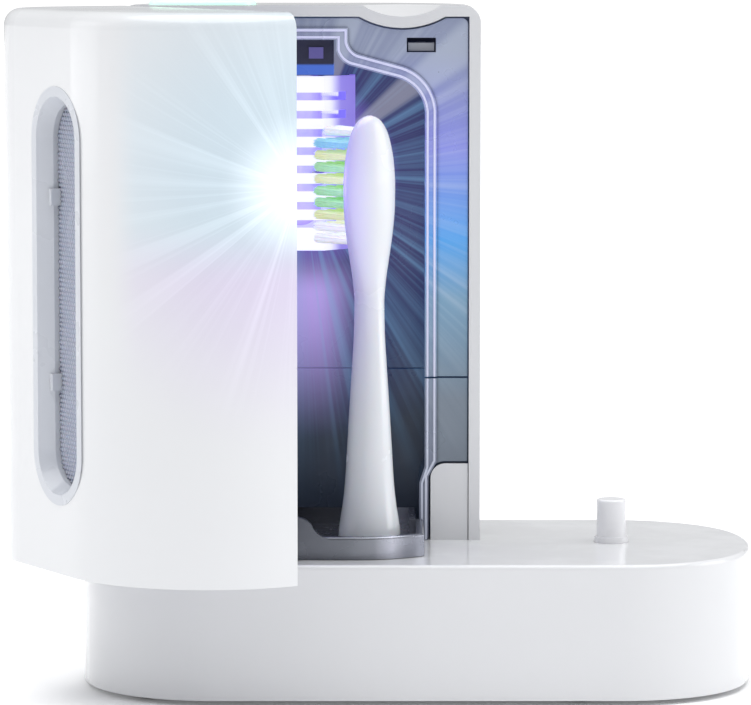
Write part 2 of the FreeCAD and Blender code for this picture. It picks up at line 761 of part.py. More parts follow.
def lower_liner():
    """The lower half of the liner, cut away for the corner blocks and open above the tray."""
    top = "(Sizes.seam_z - Sizes.seam_gap / 2)"
    floor = "Sizes.deck_z + 0.1"
    body = new_body("lower_liner")
    flange_half = [
        ("24.1", floor),
        ("24.1", "37.6", "-3.1"),
        ("27.2", "40.5"),
        (FLANGE_HALF, "40.5"),
        (FLANGE_HALF, top),
    ]
    pad(body, "XZ", "Sizes.flange_y", "Sizes.flange_y + Sizes.flange_thickness", mirrored(flange_half))
    back = "(Sizes.cavity_back_y + Sizes.liner_wall)"
    pad(body, "XZ", "Sizes.flange_y + 0.2", back, mirrored(cavity_foot("Sizes.liner_wall", top)))
    bead_half = [
        ("(Sizes.cavity_half + 0.7)", floor),
        ("(Sizes.cavity_half + 0.7)", "37.6"),
        ("(Sizes.cavity_half + 2.25)", "40.5"),
        ("(Sizes.cavity_half + 2.25)", top),
    ]
    pad(body, "XZ", f"Sizes.flange_y - {BEAD_PROUD}", "Sizes.flange_y + 0.4", mirrored(bead_half))
    inside = cavity_foot("0", f"{top} + 1")
    inside[0] = (inside[0][0], "Sizes.deck_z - 1")
    pocket(body, "XZ", "0", "Sizes.cavity_back_y", mirrored(inside))
    finish(body, "lower_liner")


def reflector():
    """A bent mirror sheet behind the lamp."""
    body = new_body("reflector")
    near, far = "Sizes.cavity_back_y - 1.4", "Sizes.cavity_back_y - 0.1"
    outline = [
        (f"{MIDDLE} - 9", f"{far} - 0.6"),
        (f"{MIDDLE} - 7.5", far),
        (f"{MIDDLE} + 7.5", far),
        (f"{MIDDLE} + 9", f"{far} - 0.6"),
        (f"{MIDDLE} + 8.6", near),
        (f"{MIDDLE} + 7.2", f"{far} - 0.5"),
        (f"{MIDDLE} - 7.2", f"{far} - 0.5"),
        (f"{MIDDLE} - 8.6", near),
    ]
    pad(body, "XY", "Sizes.screen_low_z + 1.5", "Sizes.screen_high_z - 4.5", outline)
    finish(body, "reflector")


LAMP_LOW = 84.0
LAMP_HIGH = 109.3


LAMP_Y = "(Sizes.lamp_y - 0.6)"
BULB_RADIUS = "(Sizes.lamp_radius - 0.2)"
CLASP_LOW = 92.0
CLASP_HEIGHT = 2.4


def lamp():
    """The ultraviolet bulb and its metal cap."""
    start = f"{LAMP_LOW} + {BULB_RADIUS}"
    tube = cylinder("lamp_tube", (MIDDLE, LAMP_Y, start), BULB_RADIUS, f"{LAMP_HIGH} - ({start})")
    end = DOC.addObject("Part::Sphere", "lamp_end")
    bind(end, Radius=BULB_RADIUS)
    put(end, MIDDLE, LAMP_Y, start)
    finish(fuse("lamp_bulb", tube, end), "uv_lamp")
    cap = cylinder("lamp_cap_barrel", (MIDDLE, LAMP_Y, LAMP_HIGH), f"{BULB_RADIUS} - 0.3", "5")
    finish(cap, "lamp_cap")


def lamp_socket():
    """The block that the lamp's cap plugs into from below, with two square teeth on its front."""
    low, high = "Sizes.screen_high_z - 1.6", "Sizes.screen_high_z + 5"
    front = f"{LAMP_Y} - 5"
    near, far = (f"{MIDDLE} - 6.4", front, low), (f"{MIDDLE} + 6.4", "Sizes.cavity_back_y", high)
    body = box("socket_block", near, far)
    well = cylinder("socket_well", (MIDDLE, LAMP_Y, LAMP_HIGH + 1), f"{BULB_RADIUS} - 0.3", "4")
    teeth = []
    for i, offset in enumerate((-4.5, 1.8)):
        x, z = f"{MIDDLE} + {offset}", "Sizes.screen_high_z + 1.5"
        near, far = (x, f"{front} - 0.7", z), (f"{x} + 2.7", f"{front} + 0.1", f"{z} + 2.1")
        teeth.append(box(f"socket_tooth_{i}", near, far))
    finish(cut("socket_body", fuse("socket_blank", body, *teeth), well), "lamp_socket")


def lamp_clasp():
    """The open spring band that steadies the bulb against the reflector."""
    start, below = (MIDDLE, LAMP_Y, CLASP_LOW), (MIDDLE, LAMP_Y, CLASP_LOW - 1)
    ring = cylinder("clasp_outside", start, f"{BULB_RADIUS} + 0.55", CLASP_HEIGHT)
    hole = cylinder("clasp_hole", below, BULB_RADIUS, CLASP_HEIGHT + 2)
    near = (f"{MIDDLE} - 2.2", f"{LAMP_Y} - 8", CLASP_LOW - 1)
    far = (f"{MIDDLE} + 2.2", LAMP_Y, CLASP_LOW + CLASP_HEIGHT + 1)
    finish(cut("clasp_band", ring, hole, box("clasp_mouth", near, far)), "lamp_clasp")


SCREEN_PLAN = ((4.6, 6.2), (10.4, 12.6), (10.4, 17.2))
SCREEN_WALL = 1.1
SCREEN_SLOTS = 8


def protective_screen():
    """The cage in front of the lamp: a faceted wall with level slots and a closed floor."""
    (x0, y0), (x1, y1), (x2, y2) = SCREEN_PLAN
    body = new_body("protective_screen")
    outside = [
        (f"{MIDDLE} - {x0}", y0),
        (f"{MIDDLE} + {x0}", y0),
        (f"{MIDDLE} + {x1}", y1),
        (f"{MIDDLE} + {x2}", y2),
        (f"{MIDDLE} - {x2}", y2),
        (f"{MIDDLE} - {x1}", y1),
    ]
    w = SCREEN_WALL
    slant = 0.75 * w
    inside = [
        (f"{MIDDLE} - {x0 - 0.3}", y0 + w),
        (f"{MIDDLE} + {x0 - 0.3}", y0 + w),
        (f"{MIDDLE} + {x1 - w}", y1 + slant / 2),
        (f"{MIDDLE} + {x2 - w}", y2 + 1),
        (f"{MIDDLE} - {x2 - w}", y2 + 1),
        (f"{MIDDLE} - {x1 - w}", y1 + slant / 2),
    ]
    low, high = "Sizes.screen_low_z", "Sizes.screen_high_z"
    pad(body, "XY", low, f"{high} - 1.8", outside)
    pocket(body, "XY", f"{low} + 1.2", high, inside)
    slots = []
    for i in range(SCREEN_SLOTS):
        z = f"({low} + 4.2 + {i} * Sizes.slat_pitch)"
        slots.append(rectangle(f"{MIDDLE} - 8.6", z, f"{MIDDLE} + 8.6", f"{z} + 1.5"))
    pocket(body, "XZ", y0 - 1, y2 - 2.2, *slots)
    finish(body, "protective_screen")


# Power button and door interlock


def button_oval(grow):
    """The button's outline, grown outwards."""
    r = f"(Sizes.button_radius + {grow})"
    flat = "(Sizes.button_half - Sizes.button_radius)"
    x, y = "Sizes.button_x", "Sizes.button_y"
    return [
        (f"{x} - {flat}", f"{y} - {r}"),
        (f"{x} + {flat}", f"{y} - {r}", r),
        (f"{x} + {flat}", f"{y} + {r}"),
        (f"{x} - {flat}", f"{y} + {r}", r),
    ]


BUTTON_UNDER = 121.6
SWITCH_BOARD_TOP = 119.4


def power_button():
    """The oval button with its retaining lip, its spring, and the switch on its small board."""
    body = new_body("power_button")
    top = "Sizes.tower_top + 0.8"
    pad(body, "XY", BUTTON_UNDER, top, button_oval("0"))
    dress(body, "Fillet", "0.7", at_height(top))
    pad(body, "XY", BUTTON_UNDER, BUTTON_UNDER + 0.9, button_oval("0.8"))
    finish(body, "power_button")
    x, y, top = "Sizes.button_x", "Sizes.button_y", SWITCH_BOARD_TOP
    finish(block("switch_board_plate", x, y, 9.8, 5, top - 1.2, top), "switch_board")
    finish(block("button_switch_block", x, y, 2, 2, top, top + 1.2), "button_switch")
    return_spring(x, y, top, BUTTON_UNDER)


SPRING_RADIUS = 3.4
SPRING_PITCH = 0.95
SPRING_WIRE = 0.15


def return_spring(x, y, low, high):
    """The button's coiled return spring, of six-sided wire so that its mesh stays light."""
    path = DOC.addObject("Part::Helix", "spring_path")
    bind(path, Radius=SPRING_RADIUS, Height=high - low - 2 * SPRING_WIRE, Pitch=SPRING_PITCH)
    put(path, x, y, low + SPRING_WIRE)
    wire = DOC.addObject("Part::RegularPolygon", "spring_wire")
    wire.Polygon = 6
    bind(wire, Circumradius=SPRING_WIRE)
    wire.Placement.Rotation = FreeCAD.Rotation(FreeCAD.Vector(1, 0, 0), 90)
    put(wire, f"{x} + {SPRING_RADIUS}", y, low + SPRING_WIRE)
    coil = DOC.addObject("Part::Sweep", "spring_coil")
    coil.Sections = [wire]
    coil.Spine = (path, [])
    coil.Solid = True
    coil.Frenet = True
    finish(coil, "button_spring")


def interlock():
    """The plunger behind the flange's slot and the switch that it presses."""
    low_z, high_z = 117.0, 118.5
    x0, x1 = SLOT_LOW[0] + 0.3, SLOT_HIGH[0] - 0.3
    head = box("plunger_head", (x0, 4.7, low_z), (x1, 10.5, high_z))
    stem = box("plunger_stem", (x0 + 1.5, 10.4, low_z), (x1 - 1.5, 12.0, high_z))
    finish(fuse("plunger_piece", head, stem), "interlock_plunger")
    case = box("interlock_case", (x0 - 0.6, 14.2, 115.6), (x1 + 0.6, 20.0, 120.2))
    nose = box("interlock_nose", (x0 + 1.7, 14.1, low_z + 0.2), (x1 - 1.7, 14.3, high_z - 0.2))
    finish(fuse("interlock_block", case, nose), "interlock_switch")


# Tray and brush head

PEG_HEIGHT = 7.5
TRAY_FLAT = 10.5
TRAY_BOW = 18.6


def drip_tray():
    """The shallow tray with its bowed front wall and the pull in the middle of it."""
    body = new_body("drip_tray")
    low = "Sizes.deck_z + 0.1"
    pad(body, "XY", low, "Sizes.tray_top", tray_plan("0"))
    dress(body, "Fillet", "0.5", at_height("Sizes.tray_top"))
    front = "Sizes.tray_front_y"
    hump = [
        (f"{MIDDLE} - 5.6", "Sizes.tray_top - 1.5"),
        (f"{MIDDLE} + 5.6", "Sizes.tray_top - 1.5"),
        (f"{MIDDLE} + 5.6", "Sizes.tray_top - 0.2", "-3.6"),
        (f"{MIDDLE} + 2.6", "Sizes.tray_top + 2.2", "3.2"),
        (f"{MIDDLE} - 2.6", "Sizes.tray_top + 2.2", "-3.6"),
        (f"{MIDDLE} - 5.6", "Sizes.tray_top - 0.2"),
    ]
    pocket(body, "XY", "Sizes.deck_z + 1.2", "Sizes.tray_top + 5", tray_plan("1.4"))
    pad(body, "XZ", front, f"{front} + 1.5", hump)
    finish(body, "drip_tray")
    pegs = []
    for side in (-1, 1):
        x = f"{MIDDLE} + {side} * Sizes.peg_offset"
        name = f"peg_{'left' if side < 0 else 'right'}"
        low, high = "Sizes.deck_z + 1.2", f"Sizes.deck_z + 1.2 + {PEG_HEIGHT}"
        stem = cylinder(name + "_stem", (x, "Sizes.peg_y", low), "Sizes.peg_radius", PEG_HEIGHT)
        tip = cone(name + "_tip", (x, "Sizes.peg_y", high), "Sizes.peg_radius", "1.2", "0.8")
        pegs.append(fuse(name, stem, tip))
    finish(group("peg_group", pegs), "brush_pegs")


def tray_plan(inset):
    """The tray: a front bowed at its corners, and a narrower back that runs into the cavity."""
    half = f"(Sizes.tray_half - {inset})"
    narrow = f"(Sizes.cavity_half - 1.5 - {inset})"
    front = f"(Sizes.tray_front_y + {inset})"
    bow = f"({TRAY_BOW} - {inset})"
    centre_y = f"(Sizes.tray_front_y + {TRAY_BOW})"
    corner_y = f"({centre_y} - sqrt({bow} ^ 2 - ({half} - {TRAY_FLAT}) ^ 2))"
    step = "0.9"
    back = f"(Sizes.cavity_back_y - 1 - {inset})"
    return [
        (f"{MIDDLE} - {TRAY_FLAT}", front),
        (f"{MIDDLE} + {TRAY_FLAT}", front, bow),
        (f"{MIDDLE} + {half}", corner_y),
        (f"{MIDDLE} + {half}", f"{step} - {inset}"),
        (f"{MIDDLE} + {narrow}", f"{step} - {inset}"),
        (f"{MIDDLE} + {narrow}", back),
        (f"{MIDDLE} - {narrow}", back),
        (f"{MIDDLE} - {narrow}", f"{step} - {inset}"),
        (f"{MIDDLE} - {half}", f"{step} - {inset}"),
        (f"{MIDDLE} - {half}", corner_y, bow),
    ]


# Each section of the brush head: height, half width across the bristles, half thickness.
BRUSH_SECTIONS = (
    (27.2, 5.75, 5.75),
    (31.0, 5.05, 5.05),
    (36.0, 4.45, 4.45),
    (46.0, 3.95, 3.95),
    (58.0, 3.3, 3.3),
    (69.0, 2.7, 2.65),
    (76.0, 3.3, 2.3),
    (83.0, 4.9, 2.3),
    (91.0, 5.7, 2.35),
    (98.0, 5.1, 2.25),
    (103.0, 3.5, 1.9),
    (105.6, 1.3, 0.9),
)
BRISTLE_LENGTH = 9.6
TUFT_RADIUS = 0.8
TUFT_PITCH_Z = 2.2
TUFT_ROWS = 10
TUFT_FIRST_Z = 82.6
TUFT_COLOURS = ("white", "white", "yellow", "green", "green", "yellow", "green", "yellow", "blue", "white")


def brush_head():
    """A click-on brush head on the right-hand peg, its bristles turned towards the lamp."""
    x, y = f"({MIDDLE} + Sizes.peg_offset)", "Sizes.peg_y"
    turn = FreeCAD.Rotation(FreeCAD.Vector(0, 0, 1), number("Sizes.brush_turn"))
    rings = []
    for i, (z, wide, thick) in enumerate(BRUSH_SECTIONS):
        ring = DOC.addObject("Part::Ellipse", f"brush_ring_{i}")
        bind(ring, MajorRadius=wide, MinorRadius=thick)
        ring.Placement.Rotation = turn
        rings.append(put(ring, x, y, z))
    loft = DOC.addObject("Part::Loft", "brush_loft")
    loft.Sections = rings
    loft.Solid = True
    bore = cylinder("brush_bore", (x, y, "26"), "Sizes.peg_radius + 0.25", "10")
    finish(cut("brush_body", loft, bore), "brush_head")
    tufts = {colour: [] for colour in sorted(set(TUFT_COLOURS))}
    for row in range(TUFT_ROWS):
        z = TUFT_FIRST_Z + row * TUFT_PITCH_Z
        wide, thick = brush_size(z)
        columns = [u for u in (-3.3, -1.1, 1.1, 3.3) if abs(u) + TUFT_RADIUS < wide - 0.25]
        for u in columns:
            root = thick * math.sqrt(1 - (u / wide) ** 2) - 0.5
            members = tufts[TUFT_COLOURS[row]]
            members.append(tuft(f"tuft_{row}_{len(members)}", u, root, z))
    for colour, members in tufts.items():
        finish(group(f"bristles_{colour}_group", members), f"bristles_{colour}")


def brush_size(z):
    """Half width and half thickness of the brush head at a height."""
    for (z0, w0, t0), (z1, w1, t1) in zip(BRUSH_SECTIONS, BRUSH_SECTIONS[1:]):
        if z0 <= z <= z1:
            part = (z - z0) / (z1 - z0)
            return w0 + part * (w1 - w0), t0 + part * (t1 - t0)


def tuft(name, across, root, z):
    """One tuft: a cylinder that leaves the head at a right angle to its flat."""
    angle = math.radians(number("Sizes.brush_turn"))
    flat = FreeCAD.Vector(math.cos(angle), math.sin(angle), 0)
    out = FreeCAD.Vector(-math.sin(angle), math.cos(angle), 0)
    centre = FreeCAD.Vector(number(f"{MIDDLE} + Sizes.peg_offset"), number("Sizes.peg_y"), z)
    item = DOC.addObject("Part::Cylinder", name)
    bind(item, Radius=TUFT_RADIUS, Height=f"{BRISTLE_LENGTH + 2.3 - root}")
    start = centre + flat * across + out * root
    item.Placement = FreeCAD.Placement(start, FreeCAD.Rotation(FreeCAD.Vector(0, 0, 1), out))
    return item


# Back panel


def back_panel():
    """The removable panel behind the tower, and the hooks inside it for spare cord."""
    body = new_body("back_panel")
    low_y, high_y = "Sizes.back_y - 1.8", "Sizes.back_y"
    pad(body, "XZ", f"{low_y} + 0.05", high_y, panel_outline(0.25, "3.75"))
    dress(body, "Fillet", "0.5", at_depth(high_y))
    grip = rounded(f"{MIDDLE} - 9", PANEL_HIGH - 12, f"{MIDDLE} + 9", PANEL_HIGH - 5, "3")
    pocket(body, "XZ", f"{high_y} - 1", f"{high_y} + 1", grip)
    notch = [("circle", f"{MIDDLE} + {side * 14}", PANEL_LOW, "2.3") for side in (-1, 1)]
    pocket(body, "XZ", f"{low_y} - 1", f"{high_y} + 1", *notch)
    finish(body, "back_panel")
    hooks = []
    left, right, front = f"{MIDDLE} - 5", f"{MIDDLE} + 5", "Sizes.back_y - 5.4"
    for i, (z, lip_z) in enumerate(((52.0, 49.0), (94.0, 96.0))):
        arm = box(f"hook_arm_{i}", (left, front, z), (right, f"{low_y} + 0.05", z + 2))
        lip = box(f"hook_lip_{i}", (left, front, lip_z), (right, f"{front} + 1.2", lip_z + 3))
        hooks.append(fuse(f"hook_{i}", arm, lip))
    finish(group("hook_group", hooks), "cord_hooks")


# Door: modelled closed, then turned open about the hinge


def open_door(item, label):
    """Turn a door piece from closed to its open rest position."""
    axis = FreeCAD.Vector(number(LEFT), number(HINGE_Y), 0)
    turn = FreeCAD.Rotation(FreeCAD.Vector(0, 0, 1), -number("Sizes.open_angle"))
    item.Placement = FreeCAD.Placement(FreeCAD.Vector(), turn, axis).multiply(item.Placement)
    return finish(item, label)


def door_shell():
    """The door's white outer shell: a deep tray on end, open at the back and below."""
    body = new_body("door_shell")
    rim = "(Sizes.rim_y - Sizes.door_gap)"
    pad(body, "XY", "Sizes.door_bottom", "Sizes.tower_top", door_plan("0", rim))
    top_edge = at_height("Sizes.tower_top")
    back = number(rim)
    dress(body, "Fillet", "3", lambda e: top_edge(e) and e.BoundBox.YMin < back - 0.1)
    pocket(body, "XY", "Sizes.door_bottom - 1", TOWER_CEILING, door_plan("Sizes.door_wall", f"{rim} + 1"))
    low, high = "(Sizes.window_low_z + 0.4)", "(Sizes.window_high_z - 0.4)"
    window = racetrack(MIDDLE, low, high, "(Sizes.window_half - 0.4)")
    pocket(body, "XZ", "Sizes.door_front_y - 1", "Sizes.door_front_y + 4", window)
    door_knuckles(body)
    open_door(body, "door_shell")


def door_knuckles(body):
    """Two knuckles above the tower's fixed ones, a notch for each fixed one, and pin holes."""
    clear = "Sizes.knuckle_radius + Sizes.knuckle_clearance"
    for low in KNUCKLE_ZONES:
        middle = f"({low} + Sizes.knuckle_length)"
        high = f"({middle} + Sizes.knuckle_length)"
        pocket(body, "XY", f"{low} - 0.3", f"{middle} + 0.3", knuckle_outline(clear))
        pad(body, "XY", f"{middle} + 0.3", high, knuckle_outline("Sizes.knuckle_radius"))
        pocket(body, "XY", f"{middle} - 1", f"{high} + 1", knuckle_outline("Sizes.pin_radius + 0.06"))


def hinge_pins():
    """Two steel pins, fast in the tower's knuckles and free in the door's."""
    pins = []
    for i, low in enumerate(KNUCKLE_ZONES):
        length = "2 * Sizes.knuckle_length - 0.2"
        pins.append(cylinder(f"hinge_pin_{i}", (LEFT, HINGE_Y, low), "Sizes.pin_radius", length))
    finish(group("hinge_pin_group", pins), "hinge_pins")


def door_liner():
    """The silver skin inside the door, with an opening for the window's frame."""
    body = new_body("door_liner")
    low, high = "35.5", f"({TOWER_CEILING} - 0.6)"
    outside = "(Sizes.door_wall + 0.05)"
    pad(body, "XY", low, high, door_plan(outside, "0.4"))
    pocket(body, "XY", f"{low} - 1", f"{high} - 1", door_plan("(Sizes.door_wall + 1.05)", "1.4"))
    bottom, top = "(Sizes.window_low_z - 2)", "(Sizes.window_high_z + 2)"
    window = racetrack(MIDDLE, bottom, top, "(Sizes.window_half + 2)")
    pocket(body, "XZ", "Sizes.door_front_y - 1", "Sizes.door_front_y + 6", window)
    keep_clear = [("circle", LEFT, HINGE_Y, "Sizes.knuckle_radius + Sizes.knuckle_clearance")]
    pocket(body, "XY", f"{low} - 1", f"{high} + 1", *keep_clear)
    open_door(body, "door_liner")


LENS_Y = "(Sizes.door_front_y + 3.6)"


def flange_relief(wall_back):
    """The wedge taken off the flange where the door's wall curves back on the free side."""
    neck, edge = f"{MIDDLE} + Sizes.window_half - 0.4", f"{MIDDLE} + Sizes.window_half + 1.7"
    return [
        (neck, f"{wall_back} - 0.5"),
        (edge, f"{wall_back} - 0.5"),
        (edge, f"{wall_back} + 0.55"),
        (neck, f"{wall_back} + 0.2"),
    ]


def window_bezel():
    """The window's frame: a bevelled front ring, a deep sleeve with four tabs, and a back flange."""
    front = "(Sizes.door_front_y - 0.1)"
    sleeve_back = "(Sizes.door_front_y + 4.6)"
    low, high, half = "Sizes.window_low_z", "Sizes.window_high_z", "Sizes.window_half"
    body = new_body("window_bezel")
    pad(body, "XZ", front, "Sizes.door_front_y", racetrack(MIDDLE, low, high, half))
    neck = racetrack(MIDDLE, f"({low} + 0.4)", f"({high} - 0.4)", f"({half} - 0.4)")
    pad(body, "XZ", f"{front} + 0.05", sleeve_back, neck)
    wall_back = "(Sizes.door_front_y + Sizes.door_wall)"
    flange = racetrack(MIDDLE, f"({low} - 1.6)", f"({high} + 1.6)", f"({half} + 1.6)")
    pad(body, "XZ", f"{wall_back} + 0.2", f"{wall_back} + 1.4", flange)
    pocket(body, "XY", f"{low} - 2", f"{high} + 2", flange_relief(wall_back))
    inner = f"({half} - Sizes.bevel_width)"
    hole = racetrack(MIDDLE, f"({low} + Sizes.bevel_width)", f"({high} - Sizes.bevel_width)", inner)
    pocket(body, "XZ", f"{front} - 1", f"{sleeve_back} + 1", hole)
    seat = racetrack(MIDDLE, "(Sizes.window_low_z + 2.6)", "(Sizes.window_high_z - 2.6)", f"({half} - 2.6)")
    pocket(body, "XZ", LENS_Y, f"{sleeve_back} + 1", seat)
    bevel = dress(body, "Chamfer", "1.4", bevel_edges(front, inner))
    bevel.ChamferType = "Two distances"
    bevel.setExpression("Size", "1.42")
    bevel.setExpression("Size2", "Sizes.bevel_width - 0.5")
    for z in (59.6, 92.5):
        for side in (-1, 1):
            near, far = f"{MIDDLE} + {side} * ({inner} + 0.2)", f"{MIDDLE} + {side} * ({inner} - 0.9)"
            tab = rectangle(*((near, z - 1.5, far, z + 1.5) if side < 0 else (far, z - 1.5, near, z + 1.5)))
            pad(body, "XZ", f"Sizes.door_front_y + 1.7", LENS_Y, tab)
    open_door(body, "window_bezel")


def bevel_edges(front, inner):
    """Picks the inner edges of the ring's front face."""
    level, reach = number(front), number(inner) + 0.05
    middle = number(MIDDLE)

    def chosen(edge):
        b = edge.BoundBox
        flat = max(abs(b.YMin - level), abs(b.YMax - level)) < 0.01
        return flat and b.XMax < middle + reach and b.XMin > middle - reach

    return chosen


def window_lens():
    """The patterned translucent pane at the bottom of the frame."""
    body = new_body("window_lens")
    half = "(Sizes.window_half - 2.65)"
    pane = racetrack(MIDDLE, "(Sizes.window_low_z + 2.65)", "(Sizes.window_high_z - 2.65)", half)
    pad(body, "XZ", LENS_Y, f"{LENS_Y} + 1", pane)
    open_door(body, "window_lens")


def latch_tab():
    """The tongue inside the door that enters the interlock slot when the door is shut."""
    x0, x1 = SLOT_LOW[0] + 0.5, SLOT_HIGH[0] - 0.5
    low_z, high_z = 117.2, 118.3
    plate = box("tab_plate", (x0, -2.6, low_z), (x1, -1.0, f"{TOWER_CEILING} - 0.65 - 1"))
    tongue = box("tab_tongue", (x0, -1.1, low_z), (x1, 4.2, high_z))
    open_door(fuse("tab_piece", plate, tongue), "latch_tab")


def build():
    base_housing()
    bottom_cover()
    rubber_feet()
    screws()
    charging_post()
    charging_coil()
    main_board()
    cord_inlet()
    rear_shell()
    corner_blocks()
    upper_liner()
    lower_liner()
    reflector()
    lamp()
    lamp_socket()
    lamp_clasp()
    protective_screen()
    power_button()
    interlock()
    drip_tray()
    brush_head()
    back_panel()
    hinge_pins()
    door_shell()
    door_liner()
    window_bezel()
    window_lens()
    latch_tab()


def check():
    """Stop if any object failed, any cut took nothing away, or any sub-part isn't sound."""
    faults = []
    for item in DOC.Objects:
        if "Invalid" in item.State or "Error" in item.State:
            faults.append(f"{item.Name} failed")
    for item, base in CUTS:
        if item.Shape.isNull() or base.Shape.isNull():
            faults.append(f"{item.Name} is empty")
        elif item.Shape.Volume > base.Shape.Volume - 0.01:
            faults.append(f"{item.Name} cut nothing")
    for item in FINISHED:
        if item.Shape.isNull() or not item.Shape.isValid() or not item.Shape.Solids:
            faults.append(f"{item.Label} isn't a sound solid")
    if faults:
        raise RuntimeError("; ".join(faults))


def write():
    os.makedirs("parts", exist_ok=True)
    for item in FINISHED:
        shape = item.Shape.copy()
        shape.translate(FreeCAD.Vector(number("Sizes.origin_x"), number("Sizes.origin_y"), 0))
        shape.exportStep(f"parts/{item.Label}.step")


fill_sheet()
build()
DOC.recompute()
check()
write()
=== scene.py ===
import json
import math
import random

import bmesh
import bpy
import numpy as np
from mathutils import Matrix, Vector

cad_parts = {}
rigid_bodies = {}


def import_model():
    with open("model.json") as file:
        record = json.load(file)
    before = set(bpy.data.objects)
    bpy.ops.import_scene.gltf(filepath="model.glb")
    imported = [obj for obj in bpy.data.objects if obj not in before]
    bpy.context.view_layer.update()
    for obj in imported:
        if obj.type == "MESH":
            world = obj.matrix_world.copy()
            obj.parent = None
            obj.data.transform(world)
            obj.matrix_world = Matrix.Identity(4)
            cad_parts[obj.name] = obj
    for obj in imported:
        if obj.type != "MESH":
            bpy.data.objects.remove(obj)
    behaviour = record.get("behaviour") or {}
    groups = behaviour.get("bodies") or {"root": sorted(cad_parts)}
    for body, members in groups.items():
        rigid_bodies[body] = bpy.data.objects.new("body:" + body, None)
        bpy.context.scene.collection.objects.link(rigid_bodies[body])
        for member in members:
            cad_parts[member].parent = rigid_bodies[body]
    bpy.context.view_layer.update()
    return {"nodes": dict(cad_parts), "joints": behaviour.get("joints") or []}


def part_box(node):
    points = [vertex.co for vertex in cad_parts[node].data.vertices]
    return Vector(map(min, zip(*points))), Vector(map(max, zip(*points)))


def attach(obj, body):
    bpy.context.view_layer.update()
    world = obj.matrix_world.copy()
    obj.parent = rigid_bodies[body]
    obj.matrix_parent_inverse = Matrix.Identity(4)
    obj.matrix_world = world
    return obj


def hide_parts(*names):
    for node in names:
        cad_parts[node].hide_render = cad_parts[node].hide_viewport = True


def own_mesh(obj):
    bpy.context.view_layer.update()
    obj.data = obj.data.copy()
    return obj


for leftover in list(bpy.data.objects):
    bpy.data.objects.remove(leftover)

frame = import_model()
NODES = frame["nodes"]
MM = 0.001

# Places in the frame, in metres. They repeat the part's layout and change with it.
# Where the lamp's light comes from, behind the slats
LAMP = (-0.0155, 0.0205, 0.0935)
# How far back the weak light in the chamber stands, well in front of the slats
GLOW_Y = 0.003
# The middle of the chamber and of the closed door, from left to right
TOWER_MIDDLE = -0.0157


def add_camera():
    """A long lens, straight in front and looking a little down."""
    data = bpy.data.cameras.new("camera")
    data.sensor_width = 36
    data.lens = 206.13
    data.clip_end = 20
    camera = bpy.data.objects.new("camera", data)
    camera.location = (-0.00149, -0.78001, 0.14230)
    camera.rotation_euler = (math.radians(84.1755), 0, 0)
    bpy.context.scene.collection.objects.link(camera)
    bpy.context.scene.camera = camera


def add_area(name, place, aim, size, power):
    """A square softbox at a place, turned towards its aim."""
    data = bpy.data.lights.new(name, "AREA")
    data.size = size
    data.energy = power
    light = bpy.data.objects.new(name, data)
    light.location = place
    light.rotation_euler = (Vector(aim) - Vector(place)).to_track_quat("-Z", "Y").to_euler()
    bpy.context.scene.collection.objects.link(light)


def add_lights():
    """Two side softboxes, a broad sun overhead and a weak violet-blue light in the chamber."""
    middle = (0, 0, 0.06)
    add_area("softbox_left", (-1.3, 0.30, 0.4), middle, 0.8, 2.2)
    add_area("softbox_right", (1.3, 0.02, 0.4), middle, 0.8, 5.0)
    overhead = bpy.data.lights.new("softbox_top", "SUN")
    overhead.energy = 2.6
    overhead.angle = math.radians(70)
    above = bpy.data.objects.new("softbox_top", overhead)
    above.rotation_euler = (math.radians(4), 0, 0)
    bpy.context.scene.collection.objects.link(above)
    data = bpy.data.lights.new("lamp_glow", "POINT")
    data.energy = 0.0028
    data.color = (0.42, 0.36, 1.0)
    data.shadow_soft_size = 0.004
    glow = bpy.data.objects.new("lamp_glow", data)
    glow.location = (LAMP[0], GLOW_Y, LAMP[2])
    glow.visible_camera = False
    bpy.context.scene.collection.objects.link(glow)


def add_surroundings():
    """A white world and a pale floor."""
    scene = bpy.context.scene
    scene.view_settings.view_transform = "Standard"
    world = bpy.data.worlds.new("studio")
    world.use_nodes = True
    scene.world = world
    tree = world.node_tree
    fill = tree.nodes["Background"]
    fill.inputs["Color"].default_value = (0.97, 0.98, 1.0, 1)
    fill.inputs["Strength"].default_value = 0.50
    white = tree.nodes.new("ShaderNodeBackground")
    white.inputs["Color"].default_value = (1, 1, 1, 1)
    white.inputs["Strength"].default_value = 1.1
    path = tree.nodes.new("ShaderNodeLightPath")
    choice = tree.nodes.new("ShaderNodeMixShader")
    tree.links.new(path.outputs["Is Camera Ray"], choice.inputs["Fac"])
    tree.links.new(fill.outputs[0], choice.inputs[1])
    tree.links.new(white.outputs[0], choice.inputs[2])
    tree.links.new(choice.outputs[0], tree.nodes["World Output"].inputs["Surface"])
    data = bpy.data.meshes.new("floor")
    reach = 4.0
    corners = [(-reach, -reach, 0), (reach, -reach, 0), (reach, reach, 0), (-reach, reach, 0)]
    data.from_pydata(corners, [], [(0, 1, 2, 3)])
    floor = bpy.data.objects.new("floor", data)
    bpy.context.scene.collection.objects.link(floor)
    paint = Look("floor_paint", Roughness=0.9, Emission_Color=(1, 1, 1, 1), Emission_Strength=0.06)
    paint.vary((0.93, 0.935, 0.94), (0.96, 0.96, 0.965), 3)
    floor.data.materials.append(paint.material)


